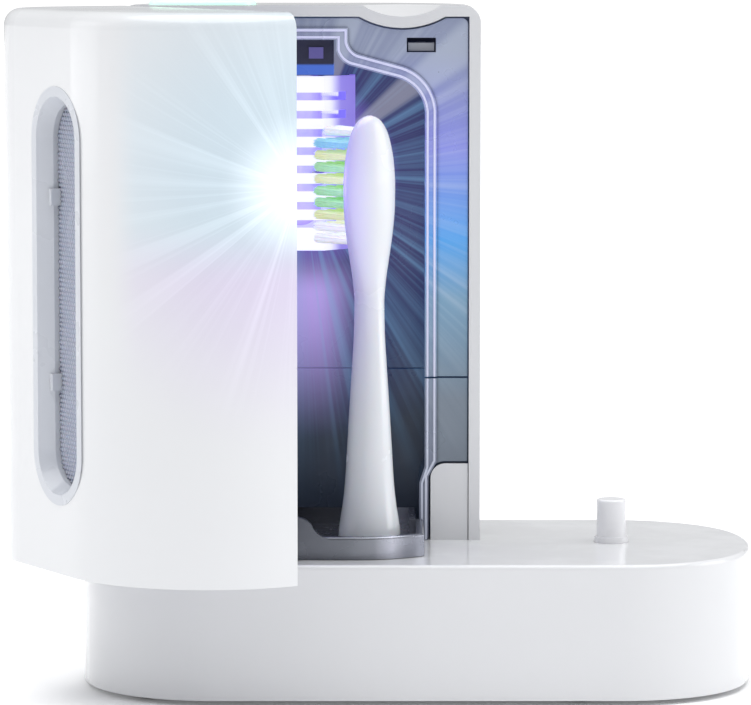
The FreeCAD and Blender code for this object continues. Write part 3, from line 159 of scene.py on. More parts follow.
class Look:
    """A node material around one Principled shader."""

    def __init__(self, name, **sockets):
        self.material = bpy.data.materials.new(name)
        self.material.use_nodes = True
        self.tree = self.material.node_tree
        self.shader = self.tree.nodes["Principled BSDF"]
        for socket, value in sockets.items():
            self.shader.inputs[socket.replace("_", " ")].default_value = value
        self.place = self.node("ShaderNodeTexCoord").outputs["Object"]

    def node(self, kind, **settings):
        made = self.tree.nodes.new(kind)
        for key, value in settings.items():
            setattr(made, key, value)
        return made

    def feed(self, socket, value):
        """Link a socket to an output, or set it to a plain value."""
        if isinstance(value, bpy.types.NodeSocket):
            self.tree.links.new(value, socket)
        else:
            socket.default_value = value

    def send(self, name, value):
        self.feed(self.shader.inputs[name], value)

    def math(self, operation, *values):
        made = self.node("ShaderNodeMath", operation=operation)
        for socket, value in zip(made.inputs, values):
            self.feed(socket, value)
        return made.outputs[0]

    def vector(self, operation, *values, out="Vector"):
        made = self.node("ShaderNodeVectorMath", operation=operation)
        for socket, value in zip(made.inputs, values):
            self.feed(socket, value)
        return made.outputs[out]

    def remap(self, value, low, high, to_low=0.0, to_high=1.0):
        made = self.node("ShaderNodeMapRange", interpolation_type="SMOOTHSTEP")
        for socket, given in zip(made.inputs, (value, low, high, to_low, to_high)):
            self.feed(socket, given)
        return made.outputs["Result"]

    def noise(self, scale, detail=3.0, source=None):
        made = self.node("ShaderNodeTexNoise")
        self.feed(made.inputs["Vector"], source or self.place)
        made.inputs["Scale"].default_value = scale
        made.inputs["Detail"].default_value = detail
        return made.outputs["Fac"]

    def mix(self, amount, first, second, blend="MIX"):
        made = self.node("ShaderNodeMix", data_type="RGBA", blend_type=blend)
        self.feed(made.inputs[0], amount)
        for socket, value in zip(made.inputs[6:8], (first, second)):
            self.feed(socket, (*value, 1) if isinstance(value, tuple) else value)
        return made.outputs[2]

    def ramp(self, value, *stops):
        made = self.node("ShaderNodeValToRGB")
        points = made.color_ramp.elements
        while len(points) < len(stops):
            points.new(0.5)
        for point, (position, colour) in zip(points, stops):
            point.position = position
            point.color = (*colour, 1)
        self.feed(made.inputs["Fac"], value)
        return made.outputs["Color"]

    def axes(self):
        made = self.node("ShaderNodeSeparateXYZ")
        self.feed(made.inputs[0], self.place)
        return made.outputs

    def bump(self, height, strength, depth=0.0001):
        made = self.node("ShaderNodeBump")
        made.inputs["Strength"].default_value = strength
        made.inputs["Distance"].default_value = depth
        self.feed(made.inputs["Height"], height)
        self.send("Normal", made.outputs["Normal"])

    def vary(self, low, high, scale):
        """Slow colour variation between two near colours, on the base colour."""
        colour = self.mix(self.noise(scale), low, high)
        self.send("Base Color", colour)
        return colour

    def finish(self, low, high, scale, grain=0.0, grain_scale=1300):
        """Uneven roughness, and a fine moulded grain."""
        self.send("Roughness", self.remap(self.noise(scale, 4), 0.35, 0.65, low, high))
        if grain:
            self.bump(self.noise(grain_scale, 1), grain, 0.00002)
        return self

    def rays(self, centre, fineness, low, high):
        """Painted light: streaks that fan out from a point in the upright plane, with the distance and heading
        from it.
        """
        away = self.vector("SUBTRACT", self.place, centre)
        flat = self.vector("MULTIPLY", away, (1, 0, 1))
        heading = self.vector("NORMALIZE", flat)
        broad = self.remap(self.noise(fineness, 2, heading), low, high)
        fine = self.remap(self.noise(fineness * 3.4, 2, heading), low, high)
        streaks = self.math("ADD", self.math("MULTIPLY", broad, 0.62), self.math("MULTIPLY", fine, 0.38))
        return streaks, self.vector("LENGTH", flat, out="Value"), heading

    def shaft(self, heading, direction, width):
        """One wide painted beam of light along a direction from the light's centre."""
        along = self.vector("DOT_PRODUCT", heading, Vector(direction).normalized(), out="Value")
        return self.remap(along, math.cos(width), math.cos(width * 0.45))

    def creases(self, colour, reach):
        """Paint shade into a colour where surfaces meet closely."""
        made = self.node("ShaderNodeAmbientOcclusion", samples=8)
        made.inputs["Distance"].default_value = reach
        shade = self.remap(made.outputs["AO"], 0.25, 0.9)
        # Painted shade: the colour is multiplied darker where the occlusion is strong
        painted_crease_shade = self.ramp(shade, (0.0, (0.12, 0.12, 0.16)), (1.0, (1, 1, 1)))
        return self.mix(1.0, colour, painted_crease_shade, "MULTIPLY")


def use(look, *nodes):
    """Give a look to whole CAD nodes."""
    for name in nodes:
        slots = NODES[name].data.materials
        for i in range(max(1, len(slots))):
            if i < len(slots):
                slots[i] = look.material
            else:
                slots.append(look.material)


def white_plastic(name, low, high, coat=0.35):
    """Glossy moulded plastic. Its plain colour stays at hand in look.base."""
    look = Look(name, Coat_Weight=coat, Coat_Roughness=0.06)
    look.base = look.vary(low, high, 18)
    return look.finish(0.16, 0.27, 60, grain=0.06)


def door_look():
    """Glossy white, with the lamp's colours painted on the side that faces it as a glow and rays of light."""
    look = white_plastic("door_white", (0.72, 0.727, 0.74), (0.745, 0.751, 0.765))
    # Painted light: the centre of the lamp's glow and rays painted on the door
    glow_centre = (-0.0146, 0, 0.0955)
    streaks, distance, _ = look.rays(glow_centre, 9, 0.5, 0.72)
    x, _, z = look.axes()
    # The painted glow stops short of the window
    side = look.remap(x, -0.048, -0.042)
    near = look.math("MULTIPLY", look.remap(distance, 0.050, 0.012), side)
    # Painted light: near the glow the base colour takes the lamp's violet and blue
    painted_glow_tint = look.mix(look.remap(z, 0.078, 0.090), (0.89, 0.80, 1.0), (0.78, 0.92, 1.0))
    look.send("Base Color", look.mix(near, look.base, look.mix(1.0, look.base, painted_glow_tint, "MULTIPLY")))
    # Painted light: rays and a bright heart, given as emission
    beams = look.math("MULTIPLY", streaks, look.remap(distance, 0.046, 0.006))
    heart = look.remap(distance, 0.014, 0.001)
    flare = look.math("MULTIPLY", look.math("ADD", look.math("MULTIPLY", beams, 0.32), heart), side)
    look.shader.inputs["Emission Color"].default_value = (0.9, 0.95, 1.0, 1)
    look.send("Emission Strength", look.math("MULTIPLY", flare, 0.5))
    return look


def liner_look():
    """Satin silver liner with the lamp's light and the chamber's shade painted on: pale lit flange, cavity
    painted dark as shade, and the lamp's colour fading away from it.
    """
    look = Look("liner_silver", Metallic=0.45, Emission_Strength=1.0)
    look.finish(0.26, 0.38, 60, grain=0.05)
    streaks, distance, heading = look.rays(LAMP, 11, 0.44, 0.66)
    x, y, z = look.axes()
    # By depth: the flange in front of the cavity, and the bead proud of the flange
    flange = look.remap(y, 0.0192, 0.0180)
    bead = look.remap(y, 0.0177, 0.0173)
    height = look.remap(z, 0.025, 0.125)
    height.node.interpolation_type = "LINEAR"
    # Painted light: the flange's colour by height, most violet-blue level with the lamp
    rim = look.ramp(
        height,
        (0.0, (0.10, 0.11, 0.13)), (0.27, (0.14, 0.17, 0.21)), (0.46, (0.16, 0.28, 0.40)),
        (0.57, (0.08, 0.30, 0.66)), (0.74, (0.20, 0.22, 0.62)), (0.92, (0.22, 0.25, 0.36)),
    )
    # Painted light: the lamp's colour fading with distance from it
    wash_reach = 0.075
    wash = look.ramp(
        look.math("DIVIDE", distance, wash_reach),
        (0.0, (0.85, 0.8, 1.0)), (0.15, (0.20, 0.12, 0.58)), (0.25, (0.022, 0.018, 0.11)),
        (0.45, (0.006, 0.014, 0.075)), (0.68, (0.004, 0.008, 0.016)), (1.0, (0.002, 0.003, 0.005)),
    )
    # Painted light: a pink glow below the lamp
    below = look.math("MULTIPLY", look.remap(z, 0.080, 0.070), look.remap(x, -0.003, -0.013))
    pink = look.math("MULTIPLY", below, look.remap(distance, 0.052, 0.020))
    wash = look.mix(look.math("MULTIPLY", pink, 0.85), wash, (0.50, 0.36, 0.86))
    # Painted light: streaks and two wide shafts fanning out from the lamp
    beam = look.math("MULTIPLY", streaks, look.remap(distance, 0.066, 0.018))
    lit = look.mix(look.math("MULTIPLY", beam, 0.42), wash, (0.16, 0.36, 0.60))
    low_shaft = look.shaft(heading, (0.78, 0, 0.63), 0.11)
    high_shaft = look.shaft(heading, (0.30, 0, 0.95), 0.09)
    wide = look.math("MAXIMUM", low_shaft, high_shaft)
    lit = look.mix(look.math("MULTIPLY", wide, 0.50), lit, (0.36, 0.36, 0.44))
    # Painted highlight on the bead, and painted streaks of light across the flange
    rim = look.mix(look.math("MULTIPLY", bead, 0.10), rim, (0.30, 0.28, 0.50))
    rim = look.mix(look.math("MULTIPLY", look.math("MAXIMUM", wide, beam), 0.24), rim, (0.62, 0.68, 0.74))
    # Painted shade where surfaces meet closely
    rim = look.creases(rim, 0.0011)
    # Painted light: the cavity glows with the lamp's wash, the flange with a little of its lit colour
    look.send("Emission Color", look.mix(flange, lit, look.mix(0.28, (0.0, 0.0, 0.0), rim)))
    # Painted shade: the cavity's near-black base colour stands in for its shadow
    dark = look.mix(look.noise(40), (0.035, 0.042, 0.058), (0.055, 0.062, 0.080))
    look.send("Base Color", look.mix(flange, dark, rim))
    return look


def lining_look():
    look = Look("door_lining", Metallic=0.3)
    look.vary((0.42, 0.43, 0.46), (0.50, 0.51, 0.54), 25)
    return look.finish(0.28, 0.4, 80, 0.1)


def tray_look():
    """Steel grey, with a painted highlight band to each side where the tray's front curves back."""
    look = Look("tray_grey", Metallic=0.75)
    x, _, _ = look.axes()
    aside = look.math("ABSOLUTE", look.math("SUBTRACT", x, TOWER_MIDDLE))
    half_width = 0.024
    # Painted highlight: a bright band to each side where the front curves back
    bands = look.ramp(
        look.math("DIVIDE", aside, half_width),
        (0.0, (0.10, 0.106, 0.125)), (0.35, (0.14, 0.148, 0.17)), (0.58, (0.22, 0.23, 0.26)),
        (0.72, (0.50, 0.51, 0.58)), (0.82, (0.30, 0.31, 0.36)), (1.0, (0.20, 0.21, 0.25)),
    )
    worn = look.mix(look.noise(500), (0.92, 0.92, 0.92), (1.0, 1.0, 1.0))
    look.send("Base Color", look.mix(1.0, bands, worn, "MULTIPLY"))
    return look.finish(0.22, 0.32, 60, 0.05)


def screen_look():
    """Slats with the lamp's light painted on as a glow: white in front and violet towards their backs."""
    look = Look("screen_white", Roughness=0.4, Emission_Strength=0.75)
    look.vary((0.34, 0.34, 0.66), (0.42, 0.40, 0.74), 200)
    _, y, _ = look.axes()
    # Painted light: the slats' emission, white in front and violet behind
    front = look.remap(y, 0.0252, 0.0222)
    look.send("Emission Color", look.mix(front, (0.20, 0.12, 0.60), (1.0, 1.0, 1.0)))
    return look


def lamp_look():
    look = Look("lamp_glass", Roughness=0.15, Emission_Strength=0.75)
    look.vary((0.4, 0.4, 0.9), (0.5, 0.45, 0.95), 60)
    look.send("Emission Color", look.mix(look.noise(120), (0.16, 0.20, 1.0), (0.34, 0.22, 1.0)))
    return look


def mirror_look():
    # Painted reflection: the reflector glows with the lamp's violet-blue light
    look = Look("mirror", Metallic=1.0, Emission_Strength=0.25)
    look.vary((0.6, 0.6, 0.75), (0.7, 0.7, 0.85), 80)
    look.send("Emission Color", look.mix(look.noise(90), (0.10, 0.16, 0.9), (0.3, 0.18, 0.9)))
    return look.finish(0.08, 0.16, 90)


def button_look():
    look = Look("button_green", Emission_Strength=0.7, Coat_Weight=0.3)
    look.vary((0.45, 0.85, 0.60), (0.60, 0.92, 0.72), 90)
    look.send("Emission Color", look.mix(look.noise(60), (0.35, 0.85, 0.55), (0.6, 0.95, 0.75)))
    return look.finish(0.2, 0.3, 60)


def socket_look():
    """Near black, with the lamp's light painted on as a blue strip across it and dim violet on the teeth."""
    look = Look("socket_dark", Emission_Strength=0.7)
    look.vary((0.012, 0.014, 0.03), (0.03, 0.03, 0.06), 200)
    _, y, z = look.axes()
    # Painted light: a blue strip of the lamp's light, and violet on the teeth
    blue_strip = look.math("MULTIPLY", look.remap(z, 0.1146, 0.1141), look.remap(z, 0.1122, 0.1126))
    teeth = look.remap(y, 0.0222, 0.0220)
    lit = look.mix(blue_strip, (0.004, 0.004, 0.02), (0.06, 0.18, 0.80))
    look.send("Emission Color", look.mix(teeth, lit, (0.12, 0.10, 0.36)))
    return look.finish(0.25, 0.4, 120, 0.05)


def copper_look():
    """Fine turns of wire, as bumps and as bands of painted shade and highlight up the winding."""
    look = Look("copper_winding", Metallic=1.0)
    _, _, z = look.axes()
    wire_pitch = 0.0004
    turns = look.math("SINE", look.math("MULTIPLY", z, 2 * math.pi / wire_pitch))
    # Painted shade and highlight: each turn darker towards its grooves and brighter at its crown
    look.send("Base Color", look.mix(look.remap(turns, -1, 1), (0.30, 0.10, 0.03), (0.78, 0.36, 0.18)))
    look.bump(turns, 0.6)
    look.send("Roughness", look.remap(look.noise(200), 0.3, 0.7, 0.22, 0.35))
    return look


def brush_look():
    """White plastic, with the lamp's violet light painted on the upper side that faces it, and a little
    painted glow.
    """
    look = Look("brush_white", Coat_Weight=0.4, Coat_Roughness=0.08, Subsurface_Weight=0.12,
                Subsurface_Scale=0.002, Emission_Strength=0.10)
    x, _, z = look.axes()
    # Painted light: the lamp's violet on the upper side facing it, as colour and emission
    lit_side = look.math("MULTIPLY", look.remap(x, 0.0, -0.0068), look.remap(z, 0.045, 0.078))
    base = look.mix(look.noise(30), (0.66, 0.68, 0.72), (0.71, 0.73, 0.76))
    look.send("Base Color", look.mix(look.math("MULTIPLY", lit_side, 0.65), base, (0.52, 0.46, 1.0)))
    look.send("Emission Color", look.mix(lit_side, (0.2, 0.22, 0.24), (0.8, 0.7, 1.0)))
    return look.finish(0.18, 0.28, 80, 0.04)


def bezel_look():
    look = Look("bezel_grey", Coat_Weight=0.2)
    look.vary((0.57, 0.59, 0.635), (0.585, 0.605, 0.65), 60)
    return look.finish(0.24, 0.34, 90, 0.06)


def lens_look():
    """Translucent grey, darker in the grooves between the lens's cells and by the wall round it: painted
    shade.
    """
    look = Look("lens_grey", Subsurface_Weight=0.15, Subsurface_Scale=0.001)
    pane = look.vary((0.41, 0.44, 0.54), (0.435, 0.465, 0.565), 120)
    # Painted shade in the grooves between cells and along the wall
    look.send("Base Color", look.creases(pane, 0.0022))
    return look.finish(0.2, 0.34, 120)


# Pieces of one plain material: two colours, noise scale, roughness range, metallic and nodes
PLAIN_LOOKS = (
    ("rubber", (0.012, 0.012, 0.014), (0.03, 0.03, 0.034), 120, (0.6, 0.8), 0.0,
     ("rubber_feet", "cord_inlet")),
    ("steel", (0.48, 0.48, 0.50), (0.62, 0.62, 0.63), 200, (0.18, 0.34), 1.0,
     ("base_screws", "tower_screws", "hinge_pins", "lamp_cap", "lamp_clasp", "button_spring")),
    ("ferrite", (0.05, 0.05, 0.055), (0.09, 0.09, 0.095), 400, (0.5, 0.7), 0.0,
     ("ferrite_core",)),
    ("moulded_dark", (0.012, 0.014, 0.03), (0.03, 0.03, 0.06), 200, (0.3, 0.5), 0.0,
     ("coil_bobbin", "button_switch", "interlock_switch", "board_components")),
    ("board_green", (0.02, 0.15, 0.06), (0.04, 0.22, 0.09), 500, (0.3, 0.45), 0.0,
     ("main_board", "switch_board")),
)


def assign_looks(lens):
    """Dress every CAD node."""
    use(door_look(), "door_shell")
    body = white_plastic("body_white", (0.68, 0.685, 0.70), (0.71, 0.715, 0.73))
    use(body, "base_housing", "rear_shell", "corner_blocks", "back_panel", "cord_hooks", "bottom_cover")
    use(white_plastic("post_white", (0.74, 0.74, 0.76), (0.79, 0.79, 0.81), 0.1), "charger_post")
    use(liner_look(), "upper_liner", "lower_liner")
    use(lining_look(), "door_liner", "latch_tab", "interlock_plunger")
    use(tray_look(), "drip_tray", "brush_pegs")
    use(screen_look(), "protective_screen")
    use(lamp_look(), "uv_lamp")
    use(mirror_look(), "reflector")
    use(button_look(), "power_button")
    use(socket_look(), "lamp_socket")
    use(copper_look(), "charge_coil")
    use(bezel_look(), "window_bezel")
    use(lens, "window_lens")
    for name, low, high, scale, (smooth, rough), metallic, nodes in PLAIN_LOOKS:
        look = Look(name, Metallic=metallic)
        look.vary(low, high, scale)
        use(look.finish(smooth, rough, scale, 0.15), *nodes)


def skin(work, rings):
    """Faces between rings of vertices, with the first and last ring capped. Returns the side faces."""
    count = len(rings[0])
    sides = [
        work.faces.new((near[k], near[(k + 1) % count], far[(k + 1) % count], far[k]))
        for near, far in zip(rings, rings[1:])
        for k in range(count)
    ]
    work.faces.new(rings[0][::-1])
    work.faces.new(rings[-1])
    return sides


def finished_mesh(work, name):
    """A mesh from the working one, its faces all turned outwards."""
    bmesh.ops.recalc_face_normals(work, faces=work.faces)
    data = bpy.data.meshes.new(name)
    work.to_mesh(data)
    work.free()
    return data


def new_piece(name, mesh_data, look, body):
    """A scene piece that rides on a body."""
    piece = bpy.data.objects.new(name, mesh_data)
    bpy.context.scene.collection.objects.link(piece)
    mesh_data.materials.append(look.material)
    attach(piece, body)
    return piece


# The brush head: height, half width across the bristles, half thickness, in mm
HEAD_SECTIONS = (
    (27.2, 5.75, 5.75), (29.0, 5.68, 5.68), (31.0, 5.42, 5.42), (34.0, 4.95, 4.95), (38.4, 4.50, 4.50),
    (46.0, 4.05, 4.05), (53.2, 3.62, 3.62), (60.0, 3.20, 3.15), (66.0, 2.88, 2.80), (71.0, 2.85, 2.55),
    (75.0, 3.35, 2.38), (79.0, 4.15, 2.30), (84.0, 5.10, 2.32), (89.0, 5.62, 2.36), (93.0, 5.68, 2.36),
    (97.0, 5.35, 2.28), (100.0, 4.75, 2.15), (102.5, 3.90, 1.92), (104.2, 2.80, 1.55), (105.2, 1.60, 0.95),
    (105.6, 0.40, 0.25),
)
HEAD_AXIS = Vector((-0.0026, 0.0072, 0))
# The bristles point this far to the left of straight back
HEAD_TURN = math.radians(37)
# The blind bore for the peg, in mm
BORE_RADIUS = 2.15
BORE_TOP = 35.9
HEAD_SIDES = 56
HEAD_STEPS = 90
# Above 1, the rings crowd towards the top, where the head curves most
HEAD_CROWDING = 1.25


def add_brush_head(look):
    """A smooth click-on head with a blind bore for its peg, in place of the plain loft."""
    turn = Matrix.Rotation(HEAD_TURN, 3, "Z")
    heights, *widths = zip(*HEAD_SECTIONS)
    bottom, top = heights[0], heights[-1]
    work = bmesh.new()
    rings = []

    def ring(z, wide, thick):
        verts = []
        for k in range(HEAD_SIDES):
            angle = 2 * math.pi * k / HEAD_SIDES
            spot = turn @ Vector((math.cos(angle) * wide, math.sin(angle) * thick, 0)) * MM
            verts.append(work.verts.new(spot + HEAD_AXIS + Vector((0, 0, z * MM))))
        rings.append(verts)

    ring(BORE_TOP, BORE_RADIUS, BORE_RADIUS)
    ring(bottom, BORE_RADIUS, BORE_RADIUS)
    for i in range(HEAD_STEPS + 1):
        z = bottom + (top - bottom) * (1 - (1 - i / HEAD_STEPS) ** HEAD_CROWDING)
        ring(z, *[smooth_value(heights, values, z) for values in widths])
    for face in skin(work, rings):
        face.smooth = True
    data = finished_mesh(work, "brush_head_smooth")
    piece = new_piece("brush_head_smooth", data, look, "brush")
    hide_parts("brush_head")


def smooth_value(places, values, at):
    """Monotone cubic between the table's rows."""
    slopes = [(values[i + 1] - values[i]) / (places[i + 1] - places[i]) for i in range(len(places) - 1)]
    tangents = [slopes[0]]
    for before, after in zip(slopes, slopes[1:]):
        tangents.append(0.0 if before * after <= 0 else 2 * before * after / (before + after))
    tangents.append(slopes[-1])
    i = max(0, min(len(slopes) - 1, sum(1 for p in places if p <= at) - 1))
    gap = places[i + 1] - places[i]
    t = (at - places[i]) / gap
    return ((2 * t**3 - 3 * t**2 + 1) * values[i] + (t**3 - 2 * t**2 + t) * gap * tangents[i]
            + (3 * t**2 - 2 * t**3) * values[i + 1] + (t**3 - t**2) * gap * tangents[i + 1])


def islands(node):
    """The vertex clouds of a node's separate solids."""
    work = bmesh.new()
    work.from_mesh(NODES[node].data)
    bmesh.ops.remove_doubles(work, verts=work.verts, dist=WELD)
    left = set(work.verts)
    clouds = []
    while left:
        stack = [left.pop()]
        cloud = []
        while stack:
            vert = stack.pop()
            cloud.append(np.array(vert.co))
            for edge in vert.link_edges:
                other = edge.other_vert(vert)
                if other in left:
                    left.remove(other)
                    stack.append(other)
        clouds.append(np.array(cloud))
    work.free()
    clouds.sort(key=lambda c: (round(c[:, 2].mean(), 5), round(c[:, 0].mean(), 5)))
    return clouds


STRAND_RADIUS = 0.00015
STRAND_SIDES = 5
# Rings along a strand: share of its length, and share of its radius there
STRAND_PROFILE = ((0.0, 1.0), (0.55, 1.0), (0.93, 0.85), (1.0, 0.4))
STRANDS_PER_TUFT = 48
# A tuft is drawn in at its root and fans out at its tip
ROOT_SPREAD = 0.86
TIP_SPREAD = 1.42
# Strands differ in length by up to this much
STRAND_UNEVEN = 0.00035
# Turns by this angle fill a disc evenly
GOLDEN_ANGLE = 2.399963


def add_strand(verts, faces, start, end, side, up):
    """A thin strand with a rounded-off tip."""
    count = STRAND_SIDES
    first = len(verts)
    for part, share in STRAND_PROFILE:
        centre = start + (end - start) * part
        for k in range(count):
            turn = 2 * math.pi * k / count
            verts.append(centre + (side * math.cos(turn) + up * math.sin(turn)) * STRAND_RADIUS * share)
    gaps = len(STRAND_PROFILE) - 1
    for ring in range(gaps):
        for k in range(count):
            a = first + ring * count + k
            b = first + ring * count + (k + 1) % count
            faces.append((a, b, b + count, a + count))
    faces.append(tuple(first + gaps * count + k for k in range(count)))
    faces.append(tuple(first + k for k in reversed(range(count))))


def tuft_shape(cloud, head):
    """A tuft's middle, its direction away from the head, its two ends along that, and its radius."""
    centre = cloud.mean(axis=0)
    axis = np.linalg.svd(cloud - centre, full_matrices=False)[2][0]
    if np.dot(axis[:2], centre[:2] - head) < 0:
        axis = -axis
    along = (cloud - centre) @ axis
    across = cloud - centre - np.outer(along, axis)
    radius = np.linalg.norm(across, axis=1).max()
    return Vector(centre), Vector(axis), float(along.min()), float(along.max()), radius


def make_bristles(colour, look, dice):
    """Tufts of fine strands in place of one colour's plain round tufts."""
    node = f"bristles_{colour}"
    head_low, head_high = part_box("brush_head")
    head = np.array([(head_low.x + head_high.x) / 2, (head_low.y + head_high.y) / 2])
    verts, faces = [], []
    up = Vector((0, 0, 1))
    for cloud in islands(node):
        centre, direction, low, high, radius = tuft_shape(cloud, head)
        side = direction.cross(up).normalized()
        for k in range(STRANDS_PER_TUFT):
            reach = (radius - STRAND_RADIUS) * math.sqrt((k + 0.5) / STRANDS_PER_TUFT)
            turn = k * GOLDEN_ANGLE
            spot = side * math.cos(turn) * reach + up * math.sin(turn) * reach
            start = centre + direction * low + spot * ROOT_SPREAD
            length = high - dice.uniform(0, STRAND_UNEVEN)
            end = centre + direction * length + spot * TIP_SPREAD
            add_strand(verts, faces, start, end, side, up)
    data = bpy.data.meshes.new(f"{node}_strands")
    data.from_pydata([tuple(v) for v in verts], [], faces)
    piece = new_piece(f"{node}_strands", data, look, "brush")
    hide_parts(node)


def bristle_look(colour, low, high, glow):
    """Soft nylon with a little painted glow in its own colour."""
    look = Look(f"nylon_{colour}", Subsurface_Weight=0.25, Subsurface_Scale=0.001, Emission_Strength=glow)
    base = look.vary(low, high, 900)
    # Painted light: the bristles' emission in their own colour
    look.send("Emission Color", base)
    return look.finish(0.3, 0.45, 700)


def add_bristles():
    """The brush head's four colours of tufts."""
    dice = random.Random(7)
    colours = (
        ("white", (0.82, 0.85, 0.86), (0.94, 0.95, 0.96), 0.24),
        ("blue", (0.26, 0.60, 0.76), (0.42, 0.76, 0.88), 0.20),
        ("green", (0.34, 0.70, 0.34), (0.52, 0.84, 0.50), 0.22),
        ("yellow", (0.72, 0.80, 0.38), (0.84, 0.88, 0.56), 0.22),
    )
    for colour, low, high, glow in colours:
        make_bristles(colour, bristle_look(colour, low, high, glow), dice)


# The window's pane in the closed door: its front face and half its width
PANE_FRONT = -0.0090
PANE_HALF = 0.00665
CELL_PITCH = 0.00092
CELL_SIDES = 6
# Cells stay this share of the pitch inside the pane's edge
CELL_MARGIN = 0.6
# Each ring of a dome: radius as a share of the pitch, and height above the pane
DOME = ((0.48, -0.00020), (0.48, 0.0), (0.30, 0.00016), (0.12, 0.00022))


def cell_centres(bottom, top):
    """Staggered rows of centres that stay inside the pane's round ends."""
    row, z = 0, bottom + CELL_PITCH
    reach = int(PANE_HALF / CELL_PITCH) + 1
    while z < top - CELL_PITCH / 2:
        end = max(0.0, z - (top - PANE_HALF), (bottom + PANE_HALF) - z)
        for i in range(-reach, reach + 1):
            x = (i + 0.5 * (row % 2)) * CELL_PITCH
            if math.hypot(x, end) < PANE_HALF - CELL_PITCH * CELL_MARGIN:
                yield x, z
        z += CELL_PITCH * math.sqrt(3) / 2
        row += 1


def add_lens_cells(look):
    """A honeycomb of low closed domes, their feet sunk in the window's pane."""
    joint = [j for j in frame["joints"] if j["name"] == "door_hinge"][0]
    hinge = Vector(joint["pos_m"])
    swing = Matrix.Rotation(math.radians(joint["range_deg"][0]), 3, "Z")
    low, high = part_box("window_lens")
    work = bmesh.new()
    for x, z in cell_centres(low.z, high.z):
        rings = []
        for radius, rise in DOME:
            ring = []
            for k in range(CELL_SIDES):
                turn = math.pi / CELL_SIDES + 2 * math.pi * k / CELL_SIDES
                across, up = math.cos(turn) * radius, math.sin(turn) * radius
                spot = Vector((TOWER_MIDDLE + x + across * CELL_PITCH, PANE_FRONT - rise, z + up * CELL_PITCH))
                ring.append(work.verts.new(hinge + swing @ (spot - hinge)))
            rings.append(ring)
        skin(work, rings)
    new_piece("lens_cells", finished_mesh(work, "lens_cells"), look, "door")


# The rails on the bead: distance in from its edge and height above its face, round the section
RAIL_SECTION = ((0.00022, 0.0), (0.00034, 0.00022), (0.00062, 0.00022), (0.00074, 0.0))
# How far the rails' feet are sunk in the bead
RAIL_FOOT = 0.00005
# Level edges below this height are the liner's seam and bottom, which carry no rails
LEVEL_EDGES_FROM = 0.057
# Vertices closer than this are one
WELD = 1e-6
# How far a vertex of a flat face may stand off it
FLATNESS = 1e-5


def bead_edges(work):
    """The long edges of the bead's front face, each with the direction into that face."""
    depth = min(v.co.y for v in work.verts)
    front = {f for f in work.faces if all(abs(v.co.y - depth) < FLATNESS for v in f.verts)}
    for edge in work.edges:
        own = [f for f in edge.link_faces if f in front]
        a, b = edge.verts
        level = abs(a.co.z - b.co.z) < WELD
        if len(own) != 1 or (level and a.co.z < LEVEL_EDGES_FROM):
            continue
        along = (b.co - a.co).normalized()
        inward = own[0].calc_center_median() - a.co
        inward -= along * inward.dot(along)
        yield a, b, inward.normalized()


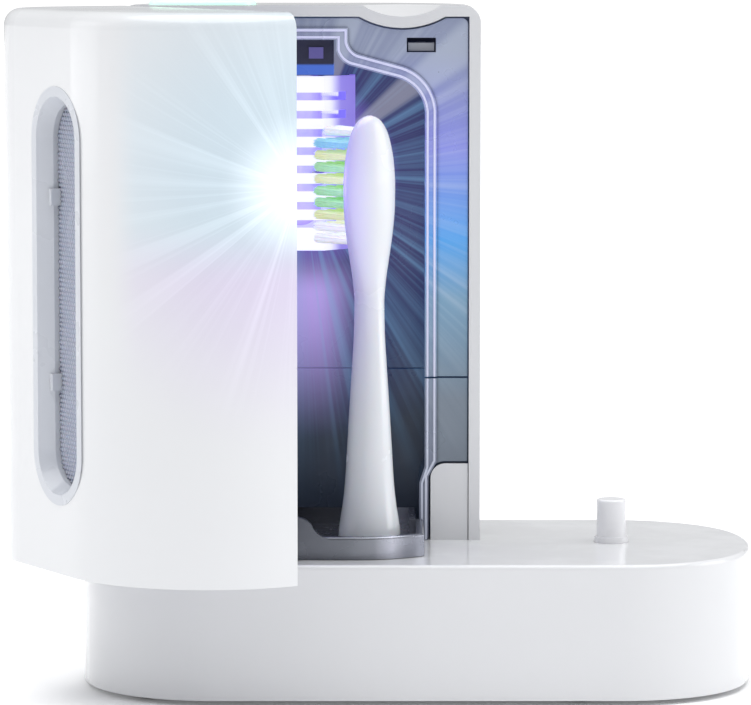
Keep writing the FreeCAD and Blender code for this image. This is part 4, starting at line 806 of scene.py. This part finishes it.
def add_bead_rails(look):
    """Two fine raised lines along the bead round the chamber's opening."""
    rails = bmesh.new()
    for node in ("upper_liner", "lower_liner"):
        work = bmesh.new()
        work.from_mesh(NODES[node].data)
        bmesh.ops.remove_doubles(work, verts=work.verts, dist=WELD)
        edges = list(bead_edges(work))
        inward, uses, sections = {}, {}, {}
        for a, b, way in edges:
            for vert in (a, b):
                inward[vert] = inward.get(vert, Vector()) + way
                uses[vert] = uses.get(vert, 0) + 1
        for vert, total in inward.items():
            mitre = total.normalized() * (uses[vert] / max(total.length, 0.5))
            sections[vert] = [
                rails.verts.new(vert.co + mitre * into + Vector((0, RAIL_FOOT if rise == 0.0 else -rise, 0)))
                for into, rise in RAIL_SECTION
            ]
        count = len(RAIL_SECTION)
        for a, b, _ in edges:
            near, far = sections[a], sections[b]
            for k in range(count):
                rails.faces.new((near[k], near[(k + 1) % count], far[(k + 1) % count], far[k]))
        for vert, edge_count in uses.items():
            if edge_count == 1:
                rails.faces.new(sections[vert])
        work.free()
    new_piece("bead_rails", finished_mesh(rails, "bead_rails"), look, "tower")


def rail_look():
    """Pale silver, with the lamp's violet light painted on towards the top."""
    look = Look("bead_line", Metallic=0.3, Emission_Strength=0.42)
    look.vary((0.50, 0.52, 0.60), (0.58, 0.60, 0.68), 60)
    _, _, z = look.axes()
    # Painted light: the lamp's violet as emission, stronger towards the top
    look.send("Emission Color", look.mix(look.remap(z, 0.035, 0.085), (0.10, 0.12, 0.16), (0.46, 0.44, 0.78)))
    return look.finish(0.26, 0.38, 60)


# The coil: its wire's radius, the rise of a turn, and the steps in a turn
SPRING_WIRE = 0.00015
SPRING_PITCH = 0.00095
SPRING_STEPS = 48
WIRE_SIDES = 8


def add_button_spring():
    """The power button's coil of round wire."""
    low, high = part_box("button_spring")
    middle = (low + high) / 2
    radius = (high.y - low.y) / 2 - SPRING_WIRE
    bottom, top = low.z + SPRING_WIRE, high.z - SPRING_WIRE
    turns = (top - bottom) / SPRING_PITCH
    steps = round(turns * SPRING_STEPS)
    work = bmesh.new()
    rings = []
    for i in range(steps + 1):
        angle = 2 * math.pi * turns * i / steps
        out = Vector((math.cos(angle), math.sin(angle), 0))
        centre = Vector((middle.x, middle.y, bottom + (top - bottom) * i / steps)) + out * radius
        ring = []
        for k in range(WIRE_SIDES):
            around = 2 * math.pi * k / WIRE_SIDES
            offset = out * math.cos(around) + Vector((0, 0, 1)) * math.sin(around)
            ring.append(work.verts.new(centre + offset * SPRING_WIRE))
        rings.append(ring)
    for face in skin(work, rings):
        face.smooth = True
    data = finished_mesh(work, "button_spring_coil")
    look = Look("spring_steel", Metallic=1.0)
    look.vary((0.48, 0.48, 0.50), (0.62, 0.62, 0.63), 900)
    piece = new_piece("button_spring_coil", data, look.finish(0.18, 0.34, 900), "tower")
    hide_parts("button_spring")
    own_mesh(piece)


add_camera()
add_surroundings()
add_lights()
lens = lens_look()
assign_looks(lens)
add_brush_head(brush_look())
add_bristles()
add_lens_cells(lens)
add_bead_rails(rail_look())
add_button_spring()
